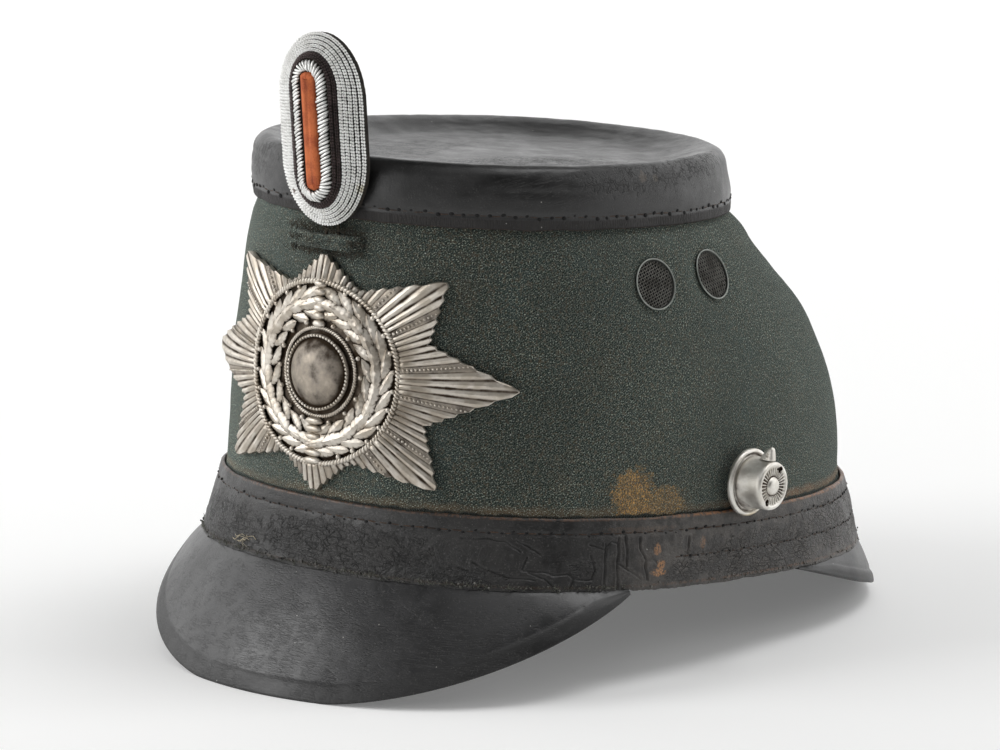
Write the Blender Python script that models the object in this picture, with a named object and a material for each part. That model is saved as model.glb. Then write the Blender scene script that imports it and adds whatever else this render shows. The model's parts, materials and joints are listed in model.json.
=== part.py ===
"""Shako: a stiff cloth cap with a leather crown, base band and two peaks, a metal plate, an oval
cockade, four vents and two side knobs. Metres, +Z up, the front faces -Y, the wearer's left is +X.

Everything is modelled in the hat's own frame, whose zero height is the band's lower edge, and
hangs on one empty that tips the hat back until both peaks rest on the ground."""

import math

import bmesh
import bpy
from mathutils import Matrix, Vector

# Driving dimensions -----------------------------------------------------------------------------

REST_TILT = math.radians(4.5)  # the front peak is deeper, so the hat leans back this much
BAND_LIFT = 0.0253  # height of the band's lower edge above the ground, on the hat's own axis
CLEARANCE = 0.0003  # gap left between pieces that touch

AROUND = 48  # facets round the body, crown and band

BODY_WALL = 0.0024  # cloth over stiff fibre board
BODY_ROWS = (0.000, 0.020, 0.030, 0.042, 0.053, 0.063, 0.072, 0.080, 0.088, 0.096, 0.1015, 0.109)
BODY_SECTIONS = (
    # height, front, back, half width, roundness
    (0.0000, -0.1026, 0.1048, 0.0848, 2.35),
    (0.0100, -0.1016, 0.1028, 0.0842, 2.25),
    (0.0200, -0.1008, 0.1004, 0.0834, 2.15),
    (0.0300, -0.1010, 0.0996, 0.0827, 2.15),
    (0.0400, -0.1011, 0.0978, 0.0820, 2.15),
    (0.0500, -0.1012, 0.0942, 0.0811, 2.15),
    (0.0600, -0.1012, 0.0884, 0.0796, 2.15),
    (0.0720, -0.1012, 0.0806, 0.0762, 2.15),
    (0.0840, -0.1012, 0.0659, 0.0724, 2.15),
    (0.0960, -0.1012, 0.0524, 0.0673, 2.15),
    (0.1015, -0.1012, 0.0470, 0.0634, 2.15),
    (0.1090, -0.1012, 0.0445, 0.0612, 2.15),
)

BAND_OUTSIDE = (
    # height, front, back, half width, roundness
    (0.0000, -0.1045, 0.1067, 0.0867, 2.35),
    (0.0100, -0.1031, 0.1046, 0.0859, 2.25),
    (0.0198, -0.1020, 0.1020, 0.0848, 2.15),
)

CROWN_ROUNDNESS = 2.15
CROWN_OUTSIDE = (
    # height, front, back, half width: the side, the crest, then down into the dish
    (0.1023, -0.1027, 0.0483, 0.0647),
    (0.1058, -0.1037, 0.0481, 0.0653),
    (0.1130, -0.1040, 0.0477, 0.0654),
    (0.1168, -0.1031, 0.0467, 0.0645),
    (0.1193, -0.1013, 0.0449, 0.0627),
    (0.1206, -0.0985, 0.0421, 0.0599),
    (0.1203, -0.0955, 0.0391, 0.0569),
    (0.1188, -0.0910, 0.0346, 0.0524),
    (0.1168, -0.0865, 0.0301, 0.0479),
    (0.1158, -0.0820, 0.0256, 0.0434),
)
CROWN_INSIDE = (
    # height, front, back, half width: the underside of the deck, out and down the skirt
    (0.1138, -0.0815, 0.0251, 0.0429),
    (0.1150, -0.0870, 0.0306, 0.0484),
    (0.1184, -0.0955, 0.0391, 0.0569),
    (0.1130, -0.1026, 0.0463, 0.0640),
    (0.1058, -0.1025, 0.0469, 0.0641),
    (0.1023, -0.1016, 0.0472, 0.0636),
)

PEAK_WALL = 0.0020
PEAKS = {
    # middle: where on the oval; reach: half of its spread; out: how far the rim stands out;
    # fade, blunt: how the rim runs in to the corners; level: share of the rim on the ground;
    # climb: how steeply the rest rises; bulge: crown of the slope; hem: width of the edge roll
    "peak_front": dict(middle=0.0, reach=64.8, out=0.022, fade=1.35, blunt=0.72, level=0.16,
                       climb=1.36, bulge=0.0014, hem=0.0065, columns=34),
    "peak_rear": dict(middle=180.0, reach=85.0, out=0.008, fade=2.2, blunt=0.80, level=0.30,
                      climb=1.60, bulge=0.0006, hem=0.0042, columns=30),
}
PEAK_SET_BACK = 0.0005  # the peaks' upper edge lies this far inside the band's face
PEAK_TAIL = 0.97  # the corners are cut off square at this share of the reach
PEAK_ROWS = (0.0, 0.35, 0.70, 1.0)  # rows of points down the slope, as shares of the way to the hem
HEM_AT_LEAST = 0.35  # where the peak is shallow, the hem still starts this far down
HEM_LIFT = 0.0005
HEM_STEP = 0.0009

BADGE_HEIGHT = 0.0565  # middle of the plate above the band's lower edge
BADGE_GAP = 0.0006  # plate to cloth at the middle
BADGE_SPRING = 0.0016  # the points stand off this much more
STAR_TIPS = (
    # degrees from straight up, radius
    (0.0, 0.0355),
    (52.0, 0.0500),
    (90.0, 0.0620),
    (128.0, 0.0500),
    (180.0, 0.0355),
)
STAR_NOTCH = 0.66  # notch radius as a share of the mean of the two tips beside it
STAR_FLUTES = 3  # ridges and valleys between a tip and a notch
STAR_HUB = 0.0270
STAR_FIELD = (0.0040, 0.0155)  # rings of points on the plain field inside the hub
STAR_STEPS = (0.0, 0.33, 0.67, 1.0)  # and on the rays outside it, as shares of their length
STAR_PLATE = 0.0012
STAR_RIDGE = 0.0022
STAR_VALLEY = 0.0010
STAR_EDGE = 0.45  # share of the relief left at the points

WREATH_RADIUS = 0.0200
WREATH_HALF_WIDTH = 0.0050
WREATH_THICKNESS = 0.0026
WREATH_LEAVES = 20
BOSS_RADIUS = 0.0112
BOSS_DOME = 0.0040

COCKADE_FOOT = Vector((0.0020, -0.1036, 0.0998))  # back of the board, at its lowest point
COCKADE_LEAN = math.radians(4.0)  # the top leans forward
COCKADE_SLANT = math.radians(3.0)  # and towards the wearer's right
COCKADE_BOARD = 0.0012
COCKADE_HALF_HEIGHT = 0.02825
COCKADE_AROUND = 32
COCKADE_RINGS = {
    # outer and inner: half width, half height, half length of the straight side;
    # heights above the board at the outer edge, halfway and at the inner edge
    "cockade_cord_ring": dict(outer=(0.0161, 0.02810, 0.0112), inner=(0.0088, 0.0227, 0.0138),
                              heights=(0.0010, 0.0034, 0.0052)),
    "cockade_dark_ring": dict(outer=(0.0085, 0.0224, 0.0138), inner=(0.0063, 0.0208, 0.0146),
                              heights=(0.0054, 0.0059, 0.0060)),
    "cockade_bullion_ring": dict(outer=(0.0060, 0.0205, 0.0146), inner=(0.0028, 0.0173, 0.0150),
                                 heights=(0.0060, 0.0064, 0.0062)),
}
COCKADE_CENTRE = dict(outer=(0.0025, 0.0170, 0.0150), height=0.0066)
PRONG_RADIUS = 0.0005
PRONG_SPREAD = 0.0022
PRONG_HEAD = 0.0011  # its bend, above the board's lowest point
PRONG_FOOT = 0.0006  # its ends, above the pocket's lower edge

POCKET_HALF_WIDTH = 0.0125
POCKET_LOW = 0.0928
POCKET_HIGH = 0.0974
POCKET_STAND = 0.0024
POCKET_WALL = 0.0010

VENT_SPOTS = (
    # name, degrees round the oval from the front, height
    ("fore", 78.5, 0.0864),
    ("aft", 95.1, 0.0876),
)
VENT_HOLE = 0.0071
VENT_SIDES = 12
VENT_RING = (
    # radius, height above the cloth
    (0.0062, -0.0022), (0.0067, -0.0022), (0.0067, 0.0006), (0.0076, 0.0006),
    (0.0076, 0.0010), (0.0072, 0.0014), (0.0064, 0.0014), (0.0062, 0.0010),
)
VENT_GAUZE = (
    (0.0, -0.0006), (0.0059, -0.0010), (0.0059, -0.0004), (0.0032, 0.0004), (0.0, 0.0006),
)

KNOB_SEAT = Vector((0.0851, -0.0078, 0.0273))  # middle of the flange's back
KNOB_SIDES = 16
KNOB_FLANGE = (
    # radius, distance out from the flange's back
    (0.0, -0.0017), (0.0045, -0.0017), (0.0045, 0.0), (0.0097, 0.0), (0.0103, 0.0008),
    (0.0101, 0.0018), (0.0094, 0.0021), (0.0085, 0.0014), (0.0079, 0.0020), (0.0, 0.0020),
)
KNOB_DRUM = (
    (0.0, 0.0023), (0.0075, 0.0023), (0.0077, 0.0040), (0.0073, 0.0078), (0.0072, 0.0098),
    (0.0067, 0.0104), (0.0059, 0.0103), (0.0057, 0.0099), (0.0026, 0.0099), (0.0023, 0.0106),
    (0.0, 0.0108),
)
HOOK_BASE = (0.0052, 0.0034)  # along the knob's axis, across it
HOOK_HEIGHT = 0.0034
HOOK_START = 0.0046  # inner end of the hook, out from the flange's back


# Scene and materials ----------------------------------------------------------------------------

for old in list(bpy.data.objects):
    bpy.data.objects.remove(old, do_unlink=True)

rest = bpy.data.objects.new("rest_pose", None)
bpy.context.scene.collection.objects.link(rest)
rest.rotation_euler = (-REST_TILT, 0.0, 0.0)


def finish(name, colour, roughness, metallic=0.0):
    """A plain Principled material."""
    material = bpy.data.materials.new(name)
    material.use_nodes = True
    shader = material.node_tree.nodes["Principled BSDF"]
    shader.inputs["Base Color"].default_value = (*colour, 1.0)
    shader.inputs["Roughness"].default_value = roughness
    shader.inputs["Metallic"].default_value = metallic
    return material


CLOTH = finish("green_wool", (0.035, 0.052, 0.045), 0.95)
LEATHER = finish("black_leather", (0.030, 0.030, 0.032), 0.42)
SILVER = finish("nickel_silver", (0.55, 0.52, 0.47), 0.32, 1.0)
CORD = finish("silver_cord", (0.75, 0.75, 0.74), 0.45, 0.6)
DARK_CORD = finish("brown_cord", (0.030, 0.018, 0.017), 0.8)
RED_CLOTH = finish("orange_cloth", (0.45, 0.09, 0.03), 0.95)
BOARD = finish("dark_felt", (0.018, 0.017, 0.016), 0.9)
GAUZE = finish("dark_gauze", (0.05, 0.05, 0.048), 0.55, 0.8)


# Shapes -----------------------------------------------------------------------------------------


def add_object(name, mesh_builder, material, parent=rest):
    """One named object from a bmesh, smooth apart from its real edges."""
    bmesh.ops.recalc_face_normals(mesh_builder, faces=mesh_builder.faces)
    mesh = bpy.data.meshes.new(name)
    mesh_builder.to_mesh(mesh)
    mesh_builder.free()
    mesh.materials.append(material)
    mesh.shade_smooth()
    mesh.set_sharp_from_angle(angle=math.radians(40))
    made = bpy.data.objects.new(name, mesh)
    made.parent = parent
    bpy.context.scene.collection.objects.link(made)
    return made


def loft(loops, ends):
    """Closed loops of points joined in order. The ends are joined to each other or capped."""
    builder = bmesh.new()
    rows = [[builder.verts.new(point) for point in loop] for loop in loops]
    pairs = list(zip(rows, rows[1:]))
    if ends == "joined":
        pairs.append((rows[-1], rows[0]))
    for low, high in pairs:
        for here in range(len(low)):
            ahead = (here + 1) % len(low)
            builder.faces.new((low[here], low[ahead], high[ahead], high[here]))
    if ends == "capped":
        builder.faces.new(list(reversed(rows[0])))
        builder.faces.new(rows[-1])
    return builder


def turned(profile, sides, closed=False):
    """A profile of (radius, height) turned about Z. A closed one makes a ring."""
    builder = bmesh.new()
    points = [builder.verts.new((radius, 0.0, height)) for radius, height in profile]
    edges = [builder.edges.new(pair) for pair in zip(points, points[1:])]
    if closed:
        edges.append(builder.edges.new((points[-1], points[0])))
    bmesh.ops.spin(builder, geom=points + edges, cent=(0, 0, 0), axis=(0, 0, 1),
                   angle=math.tau, steps=sides, use_duplicate=False)
    bmesh.ops.remove_doubles(builder, verts=builder.verts, dist=1e-6)
    return builder


def section_at(height):
    """(front, back, half width, roundness) of the cloth body, on a smooth curve through its table."""
    rows = BODY_SECTIONS
    height = min(max(height, rows[0][0]), rows[-1][0])
    upper = next(k for k in range(1, len(rows)) if height <= rows[k][0])
    low, high = rows[upper - 1], rows[upper]
    before = rows[max(upper - 2, 0)]
    after = rows[min(upper + 1, len(rows) - 1)]
    span = high[0] - low[0]
    t = (height - low[0]) / span
    blended = []
    for column in range(1, 5):
        slope_low = (high[column] - before[column]) / (high[0] - before[0]) * span
        slope_high = (after[column] - low[column]) / (after[0] - low[0]) * span
        blended.append(
            (2 * t**3 - 3 * t**2 + 1) * low[column] + (t**3 - 2 * t**2 + t) * slope_low
            + (3 * t**2 - 2 * t**3) * high[column] + (t**3 - t**2) * slope_high
        )
    return tuple(blended)


def grown(section, amount):
    """The section with its wall moved outwards by this much."""
    front, back, half_width, roundness = section
    return front - amount, back + amount, half_width + amount, roundness


def on_oval(section, angle):
    """(x, y) on the oval, the angle counted from the front towards the wearer's left."""
    front, back, half_width, roundness = section

    def softened(value):
        return math.copysign(abs(value) ** (2.0 / roundness), value)

    half_length = (back - front) / 2
    x = half_width * softened(math.sin(angle))
    y = (back + front) / 2 - half_length * softened(math.cos(angle))
    return Vector((x, y))


def outward_of(section, angle):
    """The oval's outward direction in plan."""
    step = 1e-3
    along = on_oval(section, angle + step) - on_oval(section, angle - step)
    return Vector((along.y, -along.x)).normalized()


def ring(section, height):
    """The oval as a loop of points at this height."""
    angles = [math.tau * k / AROUND for k in range(AROUND)]
    return [(*on_oval(section, angle), height) for angle in angles]


def on_cloth(angle, height, out=0.0):
    """A point off the body's outer wall, and the wall's outward direction there."""
    def wall(turn, level):
        return Vector((*on_oval(section_at(level), turn), level))

    around = wall(angle + 1e-3, height) - wall(angle - 1e-3, height)
    upward = wall(angle, height + 1e-4) - wall(angle, height - 1e-4)
    outward = around.cross(upward).normalized()
    return wall(angle, height) + outward * out, outward


def on_front(across, height, out):
    """A point `across` from the centre line, measured round the cloth, and `out` clear of it."""
    section = section_at(height)
    step = math.radians(1.5)
    walked, angle = 0.0, 0.0
    here = on_oval(section, 0.0)
    while True:
        there = on_oval(section, angle + step)
        length = (there - here).length
        if walked + length >= abs(across):
            break
        walked, angle, here = walked + length, angle + step, there
    angle += step * (abs(across) - walked) / length
    angle = math.copysign(angle, across)
    spot = on_oval(section, angle) + outward_of(section, angle) * out
    return Vector((spot.x, spot.y, height))


def above_ground(x, y, height):
    """The point of the hat's frame at (x, y) that rests this far above the ground."""
    return Vector((x, y, (height - BAND_LIFT + y * math.sin(REST_TILT)) / math.cos(REST_TILT)))


# Body, band and crown ---------------------------------------------------------------------------


def make_body():
    outside = [ring(section_at(h), h) for h in BODY_ROWS]
    inside = [ring(grown(section_at(h), -BODY_WALL), h) for h in reversed(BODY_ROWS)]
    body = add_object("shako_body", loft(outside + inside, "joined"), CLOTH)
    cutter_shape = bmesh.new()
    for side in (1, -1):
        for _, degrees, height in VENT_SPOTS:
            spot, outward = on_cloth(side * math.radians(degrees), height)
            place = Matrix.Translation(spot) @ outward.to_track_quat("Z", "Y").to_matrix().to_4x4()
            bmesh.ops.create_cone(cutter_shape, cap_ends=True, segments=VENT_SIDES, radius1=VENT_HOLE,
                                  radius2=VENT_HOLE, depth=4 * BODY_WALL, matrix=place)
    cutter = add_object("vent_cutter", cutter_shape, CLOTH)
    cutter.hide_render = True
    cutter.display_type = "WIRE"
    cut = body.modifiers.new("vent holes", "BOOLEAN")
    cut.operation = "DIFFERENCE"
    cut.object = cutter


def make_band():
    outside = [ring(row[1:], row[0]) for row in BAND_OUTSIDE]
    inside = [ring(grown(section_at(row[0]), CLEARANCE), row[0]) for row in reversed(BAND_OUTSIDE)]
    add_object("base_band", loft(outside + inside, "joined"), LEATHER)


def make_crown():
    loops = [ring((*row[1:], CROWN_ROUNDNESS), row[0]) for row in CROWN_INSIDE + CROWN_OUTSIDE]
    add_object("crown_top", loft(loops, "capped"), LEATHER)


# Peaks ------------------------------------------------------------------------------------------


def peak_section(spec, share):
    """One slice through a peak, as a closed loop: down its inner face, then up its outer face."""
    spread = abs(share)
    angle = math.radians(spec["middle"] + share * spec["reach"])
    oval = grown(BAND_OUTSIDE[0][1:], -PEAK_SET_BACK)
    root_xy = on_oval(oval, angle)
    outward = outward_of(oval, angle)
    root = Vector((root_xy.x, root_xy.y, -CLEARANCE))
    corner = on_oval(oval, math.radians(spec["middle"] + spec["reach"]))
    corner_height = BAND_LIFT * math.cos(REST_TILT) - corner.y * math.sin(REST_TILT)
    climb = max(0.0, (spread - spec["level"]) / (1 - spec["level"])) ** spec["climb"]
    stand = spec["out"] * (1 - spread ** spec["fade"]) ** spec["blunt"]
    rim_xy = root_xy + outward * stand
    rim_height = corner_height * climb
    rim = above_ground(rim_xy.x, rim_xy.y, rim_height)
    fall = root.z - rim.z
    slope = math.hypot(stand, fall)
    off = Vector((outward.x * fall, outward.y * fall, stand)) / slope
    hem = max(HEM_AT_LEAST, 1 - spec["hem"] / slope)
    step = min(HEM_STEP / slope, (1 - hem) / 3)
    bulge = spec["bulge"] * (1 - spread**2)
    lift = HEM_LIFT * (1 - spread**2)

    def down(part, raised=0.0):
        return root.lerp(rim, part) + off * (4 * bulge * part * (1 - part) + raised)

    outer = [down(hem * row) for row in PEAK_ROWS]
    inner_root_xy = root_xy - outward * PEAK_WALL
    inner = [Vector((*inner_root_xy, root.z))] + [point - off * PEAK_WALL for point in outer[2:]]
    foot_xy = rim_xy - outward * (PEAK_WALL * slope / fall)
    inner.append(above_ground(foot_xy.x, foot_xy.y, rim_height))
    outer += [down(hem + step, lift), down((hem + 1) / 2, lift), rim]
    return inner + list(reversed(outer))


def make_peak(name):
    spec = PEAKS[name]
    columns = spec["columns"]
    shares = [PEAK_TAIL * (2 * k / columns - 1) for k in range(columns + 1)]
    add_object(name, loft([peak_section(spec, share) for share in shares], "capped"), LEATHER)


# Plate on the front -----------------------------------------------------------------------------


def star_outline(degrees):
    """Outline radius at an angle from straight up: straight edges from each tip to the notch."""
    bearing = degrees % 360
    bearing = min(bearing, 360 - bearing)
    upper = next(k for k in range(1, len(STAR_TIPS)) if bearing <= STAR_TIPS[k][0] + 1e-6)
    (start, first), (end, second) = STAR_TIPS[upper - 1], STAR_TIPS[upper]
    half_gap = math.radians(end - start) / 2
    notch_radius = STAR_NOTCH * (first + second) / 2
    if bearing < (start + end) / 2:
        tip, from_tip = Vector((0.0, first)), math.radians(bearing - start)
    else:
        tip, from_tip = Vector((0.0, second)), math.radians(end - bearing)
    notch = Vector((math.sin(half_gap), math.cos(half_gap))) * notch_radius
    edge = notch - tip
    ray = Vector((math.sin(from_tip), math.cos(from_tip)))
    return (tip.x * edge.y - tip.y * edge.x) / (ray.x * edge.y - ray.y * edge.x)


def star_bearings():
    """Bearings of the ridges and valleys, in order round the star."""
    tips = [row[0] for row in STAR_TIPS]
    half = [tips[0]]
    for low, high in zip(tips, tips[1:]):
        half += [(low + high) / 2, high]
    full = half + [360 - mark for mark in reversed(half[:-1])]
    marks = []
    for low, high in zip(full, full[1:]):
        marks += [low + (high - low) * k / STAR_FLUTES for k in range(STAR_FLUTES)]
    return marks


def plate_point(radius, degrees, out):
    """A point of the plate from polar coordinates about its middle."""
    bearing = math.radians(degrees)
    across, up = radius * math.sin(bearing), radius * math.cos(bearing)
    far = min(1.0, abs(across) / STAR_TIPS[2][1])
    return on_front(across, BADGE_HEIGHT + up, BADGE_GAP + BADGE_SPRING * far**3 + out)


def make_star():
    bearings = star_bearings()
    edges = [max(star_outline(bearing), STAR_HUB) for bearing in bearings]

    def plain_row(radius, out):
        return [plate_point(radius, bearing, out) for bearing in bearings]

    def rayed_row(share, top):
        row = []
        for number, (bearing, edge) in enumerate(zip(bearings, edges)):
            relief = STAR_RIDGE if number % 2 == 0 else STAR_VALLEY
            face = STAR_PLATE * (1 - 0.3 * share) + relief * (1 - (1 - STAR_EDGE) * share)
            row.append(plate_point(STAR_HUB + (edge - STAR_HUB) * share, bearing, face if top else 0.0))
        return row

    loops = [plain_row(radius, 0.0) for radius in STAR_FIELD]
    loops += [rayed_row(share, False) for share in STAR_STEPS]
    loops += [rayed_row(share, True) for share in reversed(STAR_STEPS)]
    loops.append(plain_row(STAR_HUB - 0.0006, STAR_PLATE))
    loops += [plain_row(radius, STAR_PLATE) for radius in reversed(STAR_FIELD)]
    add_object("badge_star", loft(loops, "capped"), SILVER)


def make_wreath():
    """A ring of overlapping leaves that climb from the foot to the top on both sides."""
    floor = STAR_PLATE + CLEARANCE
    steps = WREATH_LEAVES * 3
    loops = []
    for k in range(steps):
        bearing = 360.0 * k / steps
        from_foot = 180 - min(bearing, 360 - bearing)
        leaf = from_foot / 180 * WREATH_LEAVES / 2 % 1.0
        wide = WREATH_HALF_WIDTH * (1.0 - 0.34 * leaf)
        thick = WREATH_THICKNESS * (1.0 - 0.28 * leaf)
        section = (
            (WREATH_RADIUS - wide, 0.0), (WREATH_RADIUS + wide, 0.0),
            (WREATH_RADIUS + wide, thick * 0.45), (WREATH_RADIUS + wide * 0.3, thick),
            (WREATH_RADIUS - wide * 0.3, thick), (WREATH_RADIUS - wide, thick * 0.45),
        )
        loops.append([plate_point(radius, bearing, floor + out) for radius, out in section])
    add_object("badge_wreath", loft(loops, "joined"), SILVER)


def make_boss():
    floor = STAR_PLATE + CLEARANCE
    sides = 16
    bearings = [360.0 * k / sides for k in range(sides)]
    rows = ((0.35, 0.0), (1.0, 0.0), (1.0, 0.30), (0.80, 0.72), (0.45, 0.94), (0.12, 1.0))
    loops = [[plate_point(BOSS_RADIUS * r, b, floor + BOSS_DOME * h) for b in bearings] for r, h in rows]
    add_object("badge_boss", loft(loops, "capped"), SILVER)


# Cockade ----------------------------------------------------------------------------------------


def cockade_empty():
    """Its frame: X to the wearer's left, Z up the board, -Y out of its face, zero at the foot."""
    empty = bpy.data.objects.new("cockade_frame", None)
    bpy.context.scene.collection.objects.link(empty)
    empty.parent = rest
    empty.location = COCKADE_FOOT
    empty.rotation_euler = (COCKADE_LEAN, -COCKADE_SLANT, 0.0)
    return empty


def stadium(size, out):
    """An oval with straight sides, out from the back of the board."""
    half_width, half_height, straight = size
    loop = []
    for k in range(COCKADE_AROUND):
        angle = math.tau * (k + 0.5) / COCKADE_AROUND
        x = half_width * math.sin(angle)
        z = (half_height - straight) * math.cos(angle) + math.copysign(straight, math.cos(angle))
        loop.append((x, -out, z + COCKADE_HALF_HEIGHT))
    return loop


def between(first, second, share):
    return tuple(a + (b - a) * share for a, b in zip(first, second))


def make_cockade():
    frame = cockade_empty()
    full = COCKADE_RINGS["cockade_cord_ring"]["outer"]
    board = tuple(size + 0.0003 for size in full[:2]) + (full[2],)
    add_object("cockade_board", loft([stadium(board, 0.0), stadium(board, COCKADE_BOARD)], "capped"),
               BOARD, frame)
    floor = COCKADE_BOARD + CLEARANCE
    materials = {"cockade_cord_ring": CORD, "cockade_dark_ring": DARK_CORD, "cockade_bullion_ring": CORD}
    for name, spec in COCKADE_RINGS.items():
        outer, inner = spec["outer"], spec["inner"]
        low, middle, high = spec["heights"]
        loops = [
            stadium(inner, floor), stadium(outer, floor), stadium(outer, COCKADE_BOARD + low),
            stadium(between(outer, inner, 0.5), COCKADE_BOARD + middle),
            stadium(inner, COCKADE_BOARD + high),
        ]
        add_object(name, loft(loops, "joined"), materials[name], frame)
    outer = COCKADE_CENTRE["outer"]
    top = COCKADE_BOARD + COCKADE_CENTRE["height"]
    crown = (outer[0] * 0.55, outer[1] - outer[0] * 0.45, outer[2])
    loops = [stadium(outer, floor), stadium(outer, top - 0.0006), stadium(crown, top)]
    add_object("cockade_centre", loft(loops, "capped"), RED_CLOTH, frame)


def make_prong():
    """A bent wire behind the board's foot, whose legs go down into the pocket."""
    stand = COCKADE_FOOT.y + CLEARANCE + PRONG_RADIUS
    top, foot = COCKADE_FOOT.z + PRONG_HEAD, POCKET_LOW + PRONG_FOOT
    bend = PRONG_SPREAD * 0.45
    leg = [(PRONG_SPREAD - bend, top), (PRONG_SPREAD - bend * 0.3, top - bend * 0.3),
           (PRONG_SPREAD, top - bend), (PRONG_SPREAD, foot)]
    route = [(-x, z) for x, z in reversed(leg)] + leg
    wire = bpy.data.curves.new("cockade_prong", "CURVE")
    wire.dimensions = "3D"
    wire.bevel_depth = PRONG_RADIUS
    wire.bevel_resolution = 1
    wire.use_fill_caps = True
    wire.materials.append(SILVER)
    spline = wire.splines.new("POLY")
    spline.points.add(len(route) - 1)
    for point, (x, z) in zip(spline.points, route):
        point.co = (COCKADE_FOOT.x + x, stand, z, 1.0)
    made = bpy.data.objects.new("cockade_prong", wire)
    made.parent = rest
    bpy.context.scene.collection.objects.link(made)


def make_pocket():
    """A strip of cloth that stands off the front and holds the cockade's wire."""
    columns = 12
    loops = []
    for k in range(columns + 1):
        share = 2 * k / columns - 1
        across = POCKET_HALF_WIDTH * share
        stand = CLEARANCE + (POCKET_STAND - CLEARANCE) * (1 - share**4)
        loops.append([
            on_front(across, POCKET_LOW, stand),
            on_front(across, POCKET_HIGH, stand),
            on_front(across, POCKET_HIGH, stand + POCKET_WALL),
            on_front(across, POCKET_LOW, stand + POCKET_WALL),
        ])
    add_object("cockade_pocket", loft(loops, "capped"), CLOTH)


# Vents and knobs --------------------------------------------------------------------------------


def make_vents():
    for side, side_name in ((1, "left"), (-1, "right")):
        for spot_name, degrees, height in VENT_SPOTS:
            spot, outward = on_cloth(side * math.radians(degrees), height)
            turn = outward.to_track_quat("Z", "Y").to_euler()
            hoop = add_object(f"vent_ring_{side_name}_{spot_name}",
                              turned(VENT_RING, VENT_SIDES, closed=True), SILVER)
            gauze = add_object(f"vent_gauze_{side_name}_{spot_name}", turned(VENT_GAUZE, VENT_SIDES), GAUZE)
            for piece in (hoop, gauze):
                piece.location = spot
                piece.rotation_euler = turn


def hook_shape():
    """A pointed lug on top of the knob, its tip over the face."""
    length, width = HOOK_BASE
    seat = KNOB_DRUM[2][0] + CLEARANCE
    # X up from the knob's axis, Y across, Z out along the axis
    low = [(seat, -width / 2, HOOK_START), (seat, width / 2, HOOK_START),
           (seat, width / 2, HOOK_START + length), (seat, -width / 2, HOOK_START + length)]
    tip_z = HOOK_START + length * 0.86
    high = [(seat + HOOK_HEIGHT * 0.9, -width * 0.12, tip_z - 0.0008),
            (seat + HOOK_HEIGHT * 0.9, width * 0.12, tip_z - 0.0008),
            (seat + HOOK_HEIGHT, width * 0.12, tip_z), (seat + HOOK_HEIGHT, -width * 0.12, tip_z)]
    middle = [(seat + HOOK_HEIGHT * 0.45, y * 0.75, z + (tip_z - z) * 0.35) for _, y, z in low]
    return loft([low, middle, high], "capped")


def make_knobs():
    for side, side_name in ((1, "left"), (-1, "right")):
        shapes = {
            f"knob_flange_{side_name}": turned(KNOB_FLANGE, KNOB_SIDES),
            f"knob_drum_{side_name}": turned(KNOB_DRUM, KNOB_SIDES),
            f"knob_hook_{side_name}": hook_shape(),
        }
        # local X points up, local Z out of the hat
        facing = Matrix(((0, 0, side), (0, -side, 0), (1, 0, 0))).to_euler()
        for name, shape in shapes.items():
            piece = add_object(name, shape, SILVER)
            piece.location = (side * KNOB_SEAT.x, KNOB_SEAT.y, KNOB_SEAT.z)
            piece.rotation_euler = facing


def set_down():
    """Moves the whole hat so that it rests on the ground with its box centred over the origin."""
    bpy.context.view_layer.update()
    graph = bpy.context.evaluated_depsgraph_get()
    corners = []
    for piece in bpy.data.objects:
        if piece.type == "EMPTY" or piece.hide_render:
            continue
        solid = piece.evaluated_get(graph)
        mesh = solid.to_mesh()
        corners += [solid.matrix_world @ vertex.co for vertex in mesh.vertices]
        solid.to_mesh_clear()
    low = Vector(tuple(min(c[axis] for c in corners) for axis in range(3)))
    high = Vector(tuple(max(c[axis] for c in corners) for axis in range(3)))
    rest.location = (-(low.x + high.x) / 2, -(low.y + high.y) / 2, -low.z)


make_body()
make_band()
make_crown()
make_peak("peak_front")
make_peak("peak_rear")
make_star()
make_wreath()
make_boss()
make_cockade()
make_prong()
make_pocket()
make_vents()
make_knobs()
set_down()
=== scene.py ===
import json
from bisect import bisect_right
from functools import lru_cache
from math import copysign, cos, degrees, dist, exp, hypot, pi, radians, sin, sqrt, tau

import bmesh
import bpy
from mathutils import Euler, Matrix, Vector, noise


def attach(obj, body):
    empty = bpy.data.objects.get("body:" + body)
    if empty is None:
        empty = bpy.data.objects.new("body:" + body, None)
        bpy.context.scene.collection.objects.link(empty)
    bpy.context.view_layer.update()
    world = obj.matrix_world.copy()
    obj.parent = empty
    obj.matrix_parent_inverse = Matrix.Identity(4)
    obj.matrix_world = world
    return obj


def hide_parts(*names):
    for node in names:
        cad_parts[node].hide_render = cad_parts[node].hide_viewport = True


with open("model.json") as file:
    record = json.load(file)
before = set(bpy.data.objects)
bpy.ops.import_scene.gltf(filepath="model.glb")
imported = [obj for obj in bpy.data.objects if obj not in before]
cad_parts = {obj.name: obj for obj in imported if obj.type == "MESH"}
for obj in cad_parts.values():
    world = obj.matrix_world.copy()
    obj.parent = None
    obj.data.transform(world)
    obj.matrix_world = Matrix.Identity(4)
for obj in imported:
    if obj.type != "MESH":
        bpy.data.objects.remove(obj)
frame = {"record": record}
noise.seed_set(11)  # noise_vector would start from the clock
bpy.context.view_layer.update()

mm = 0.001

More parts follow.
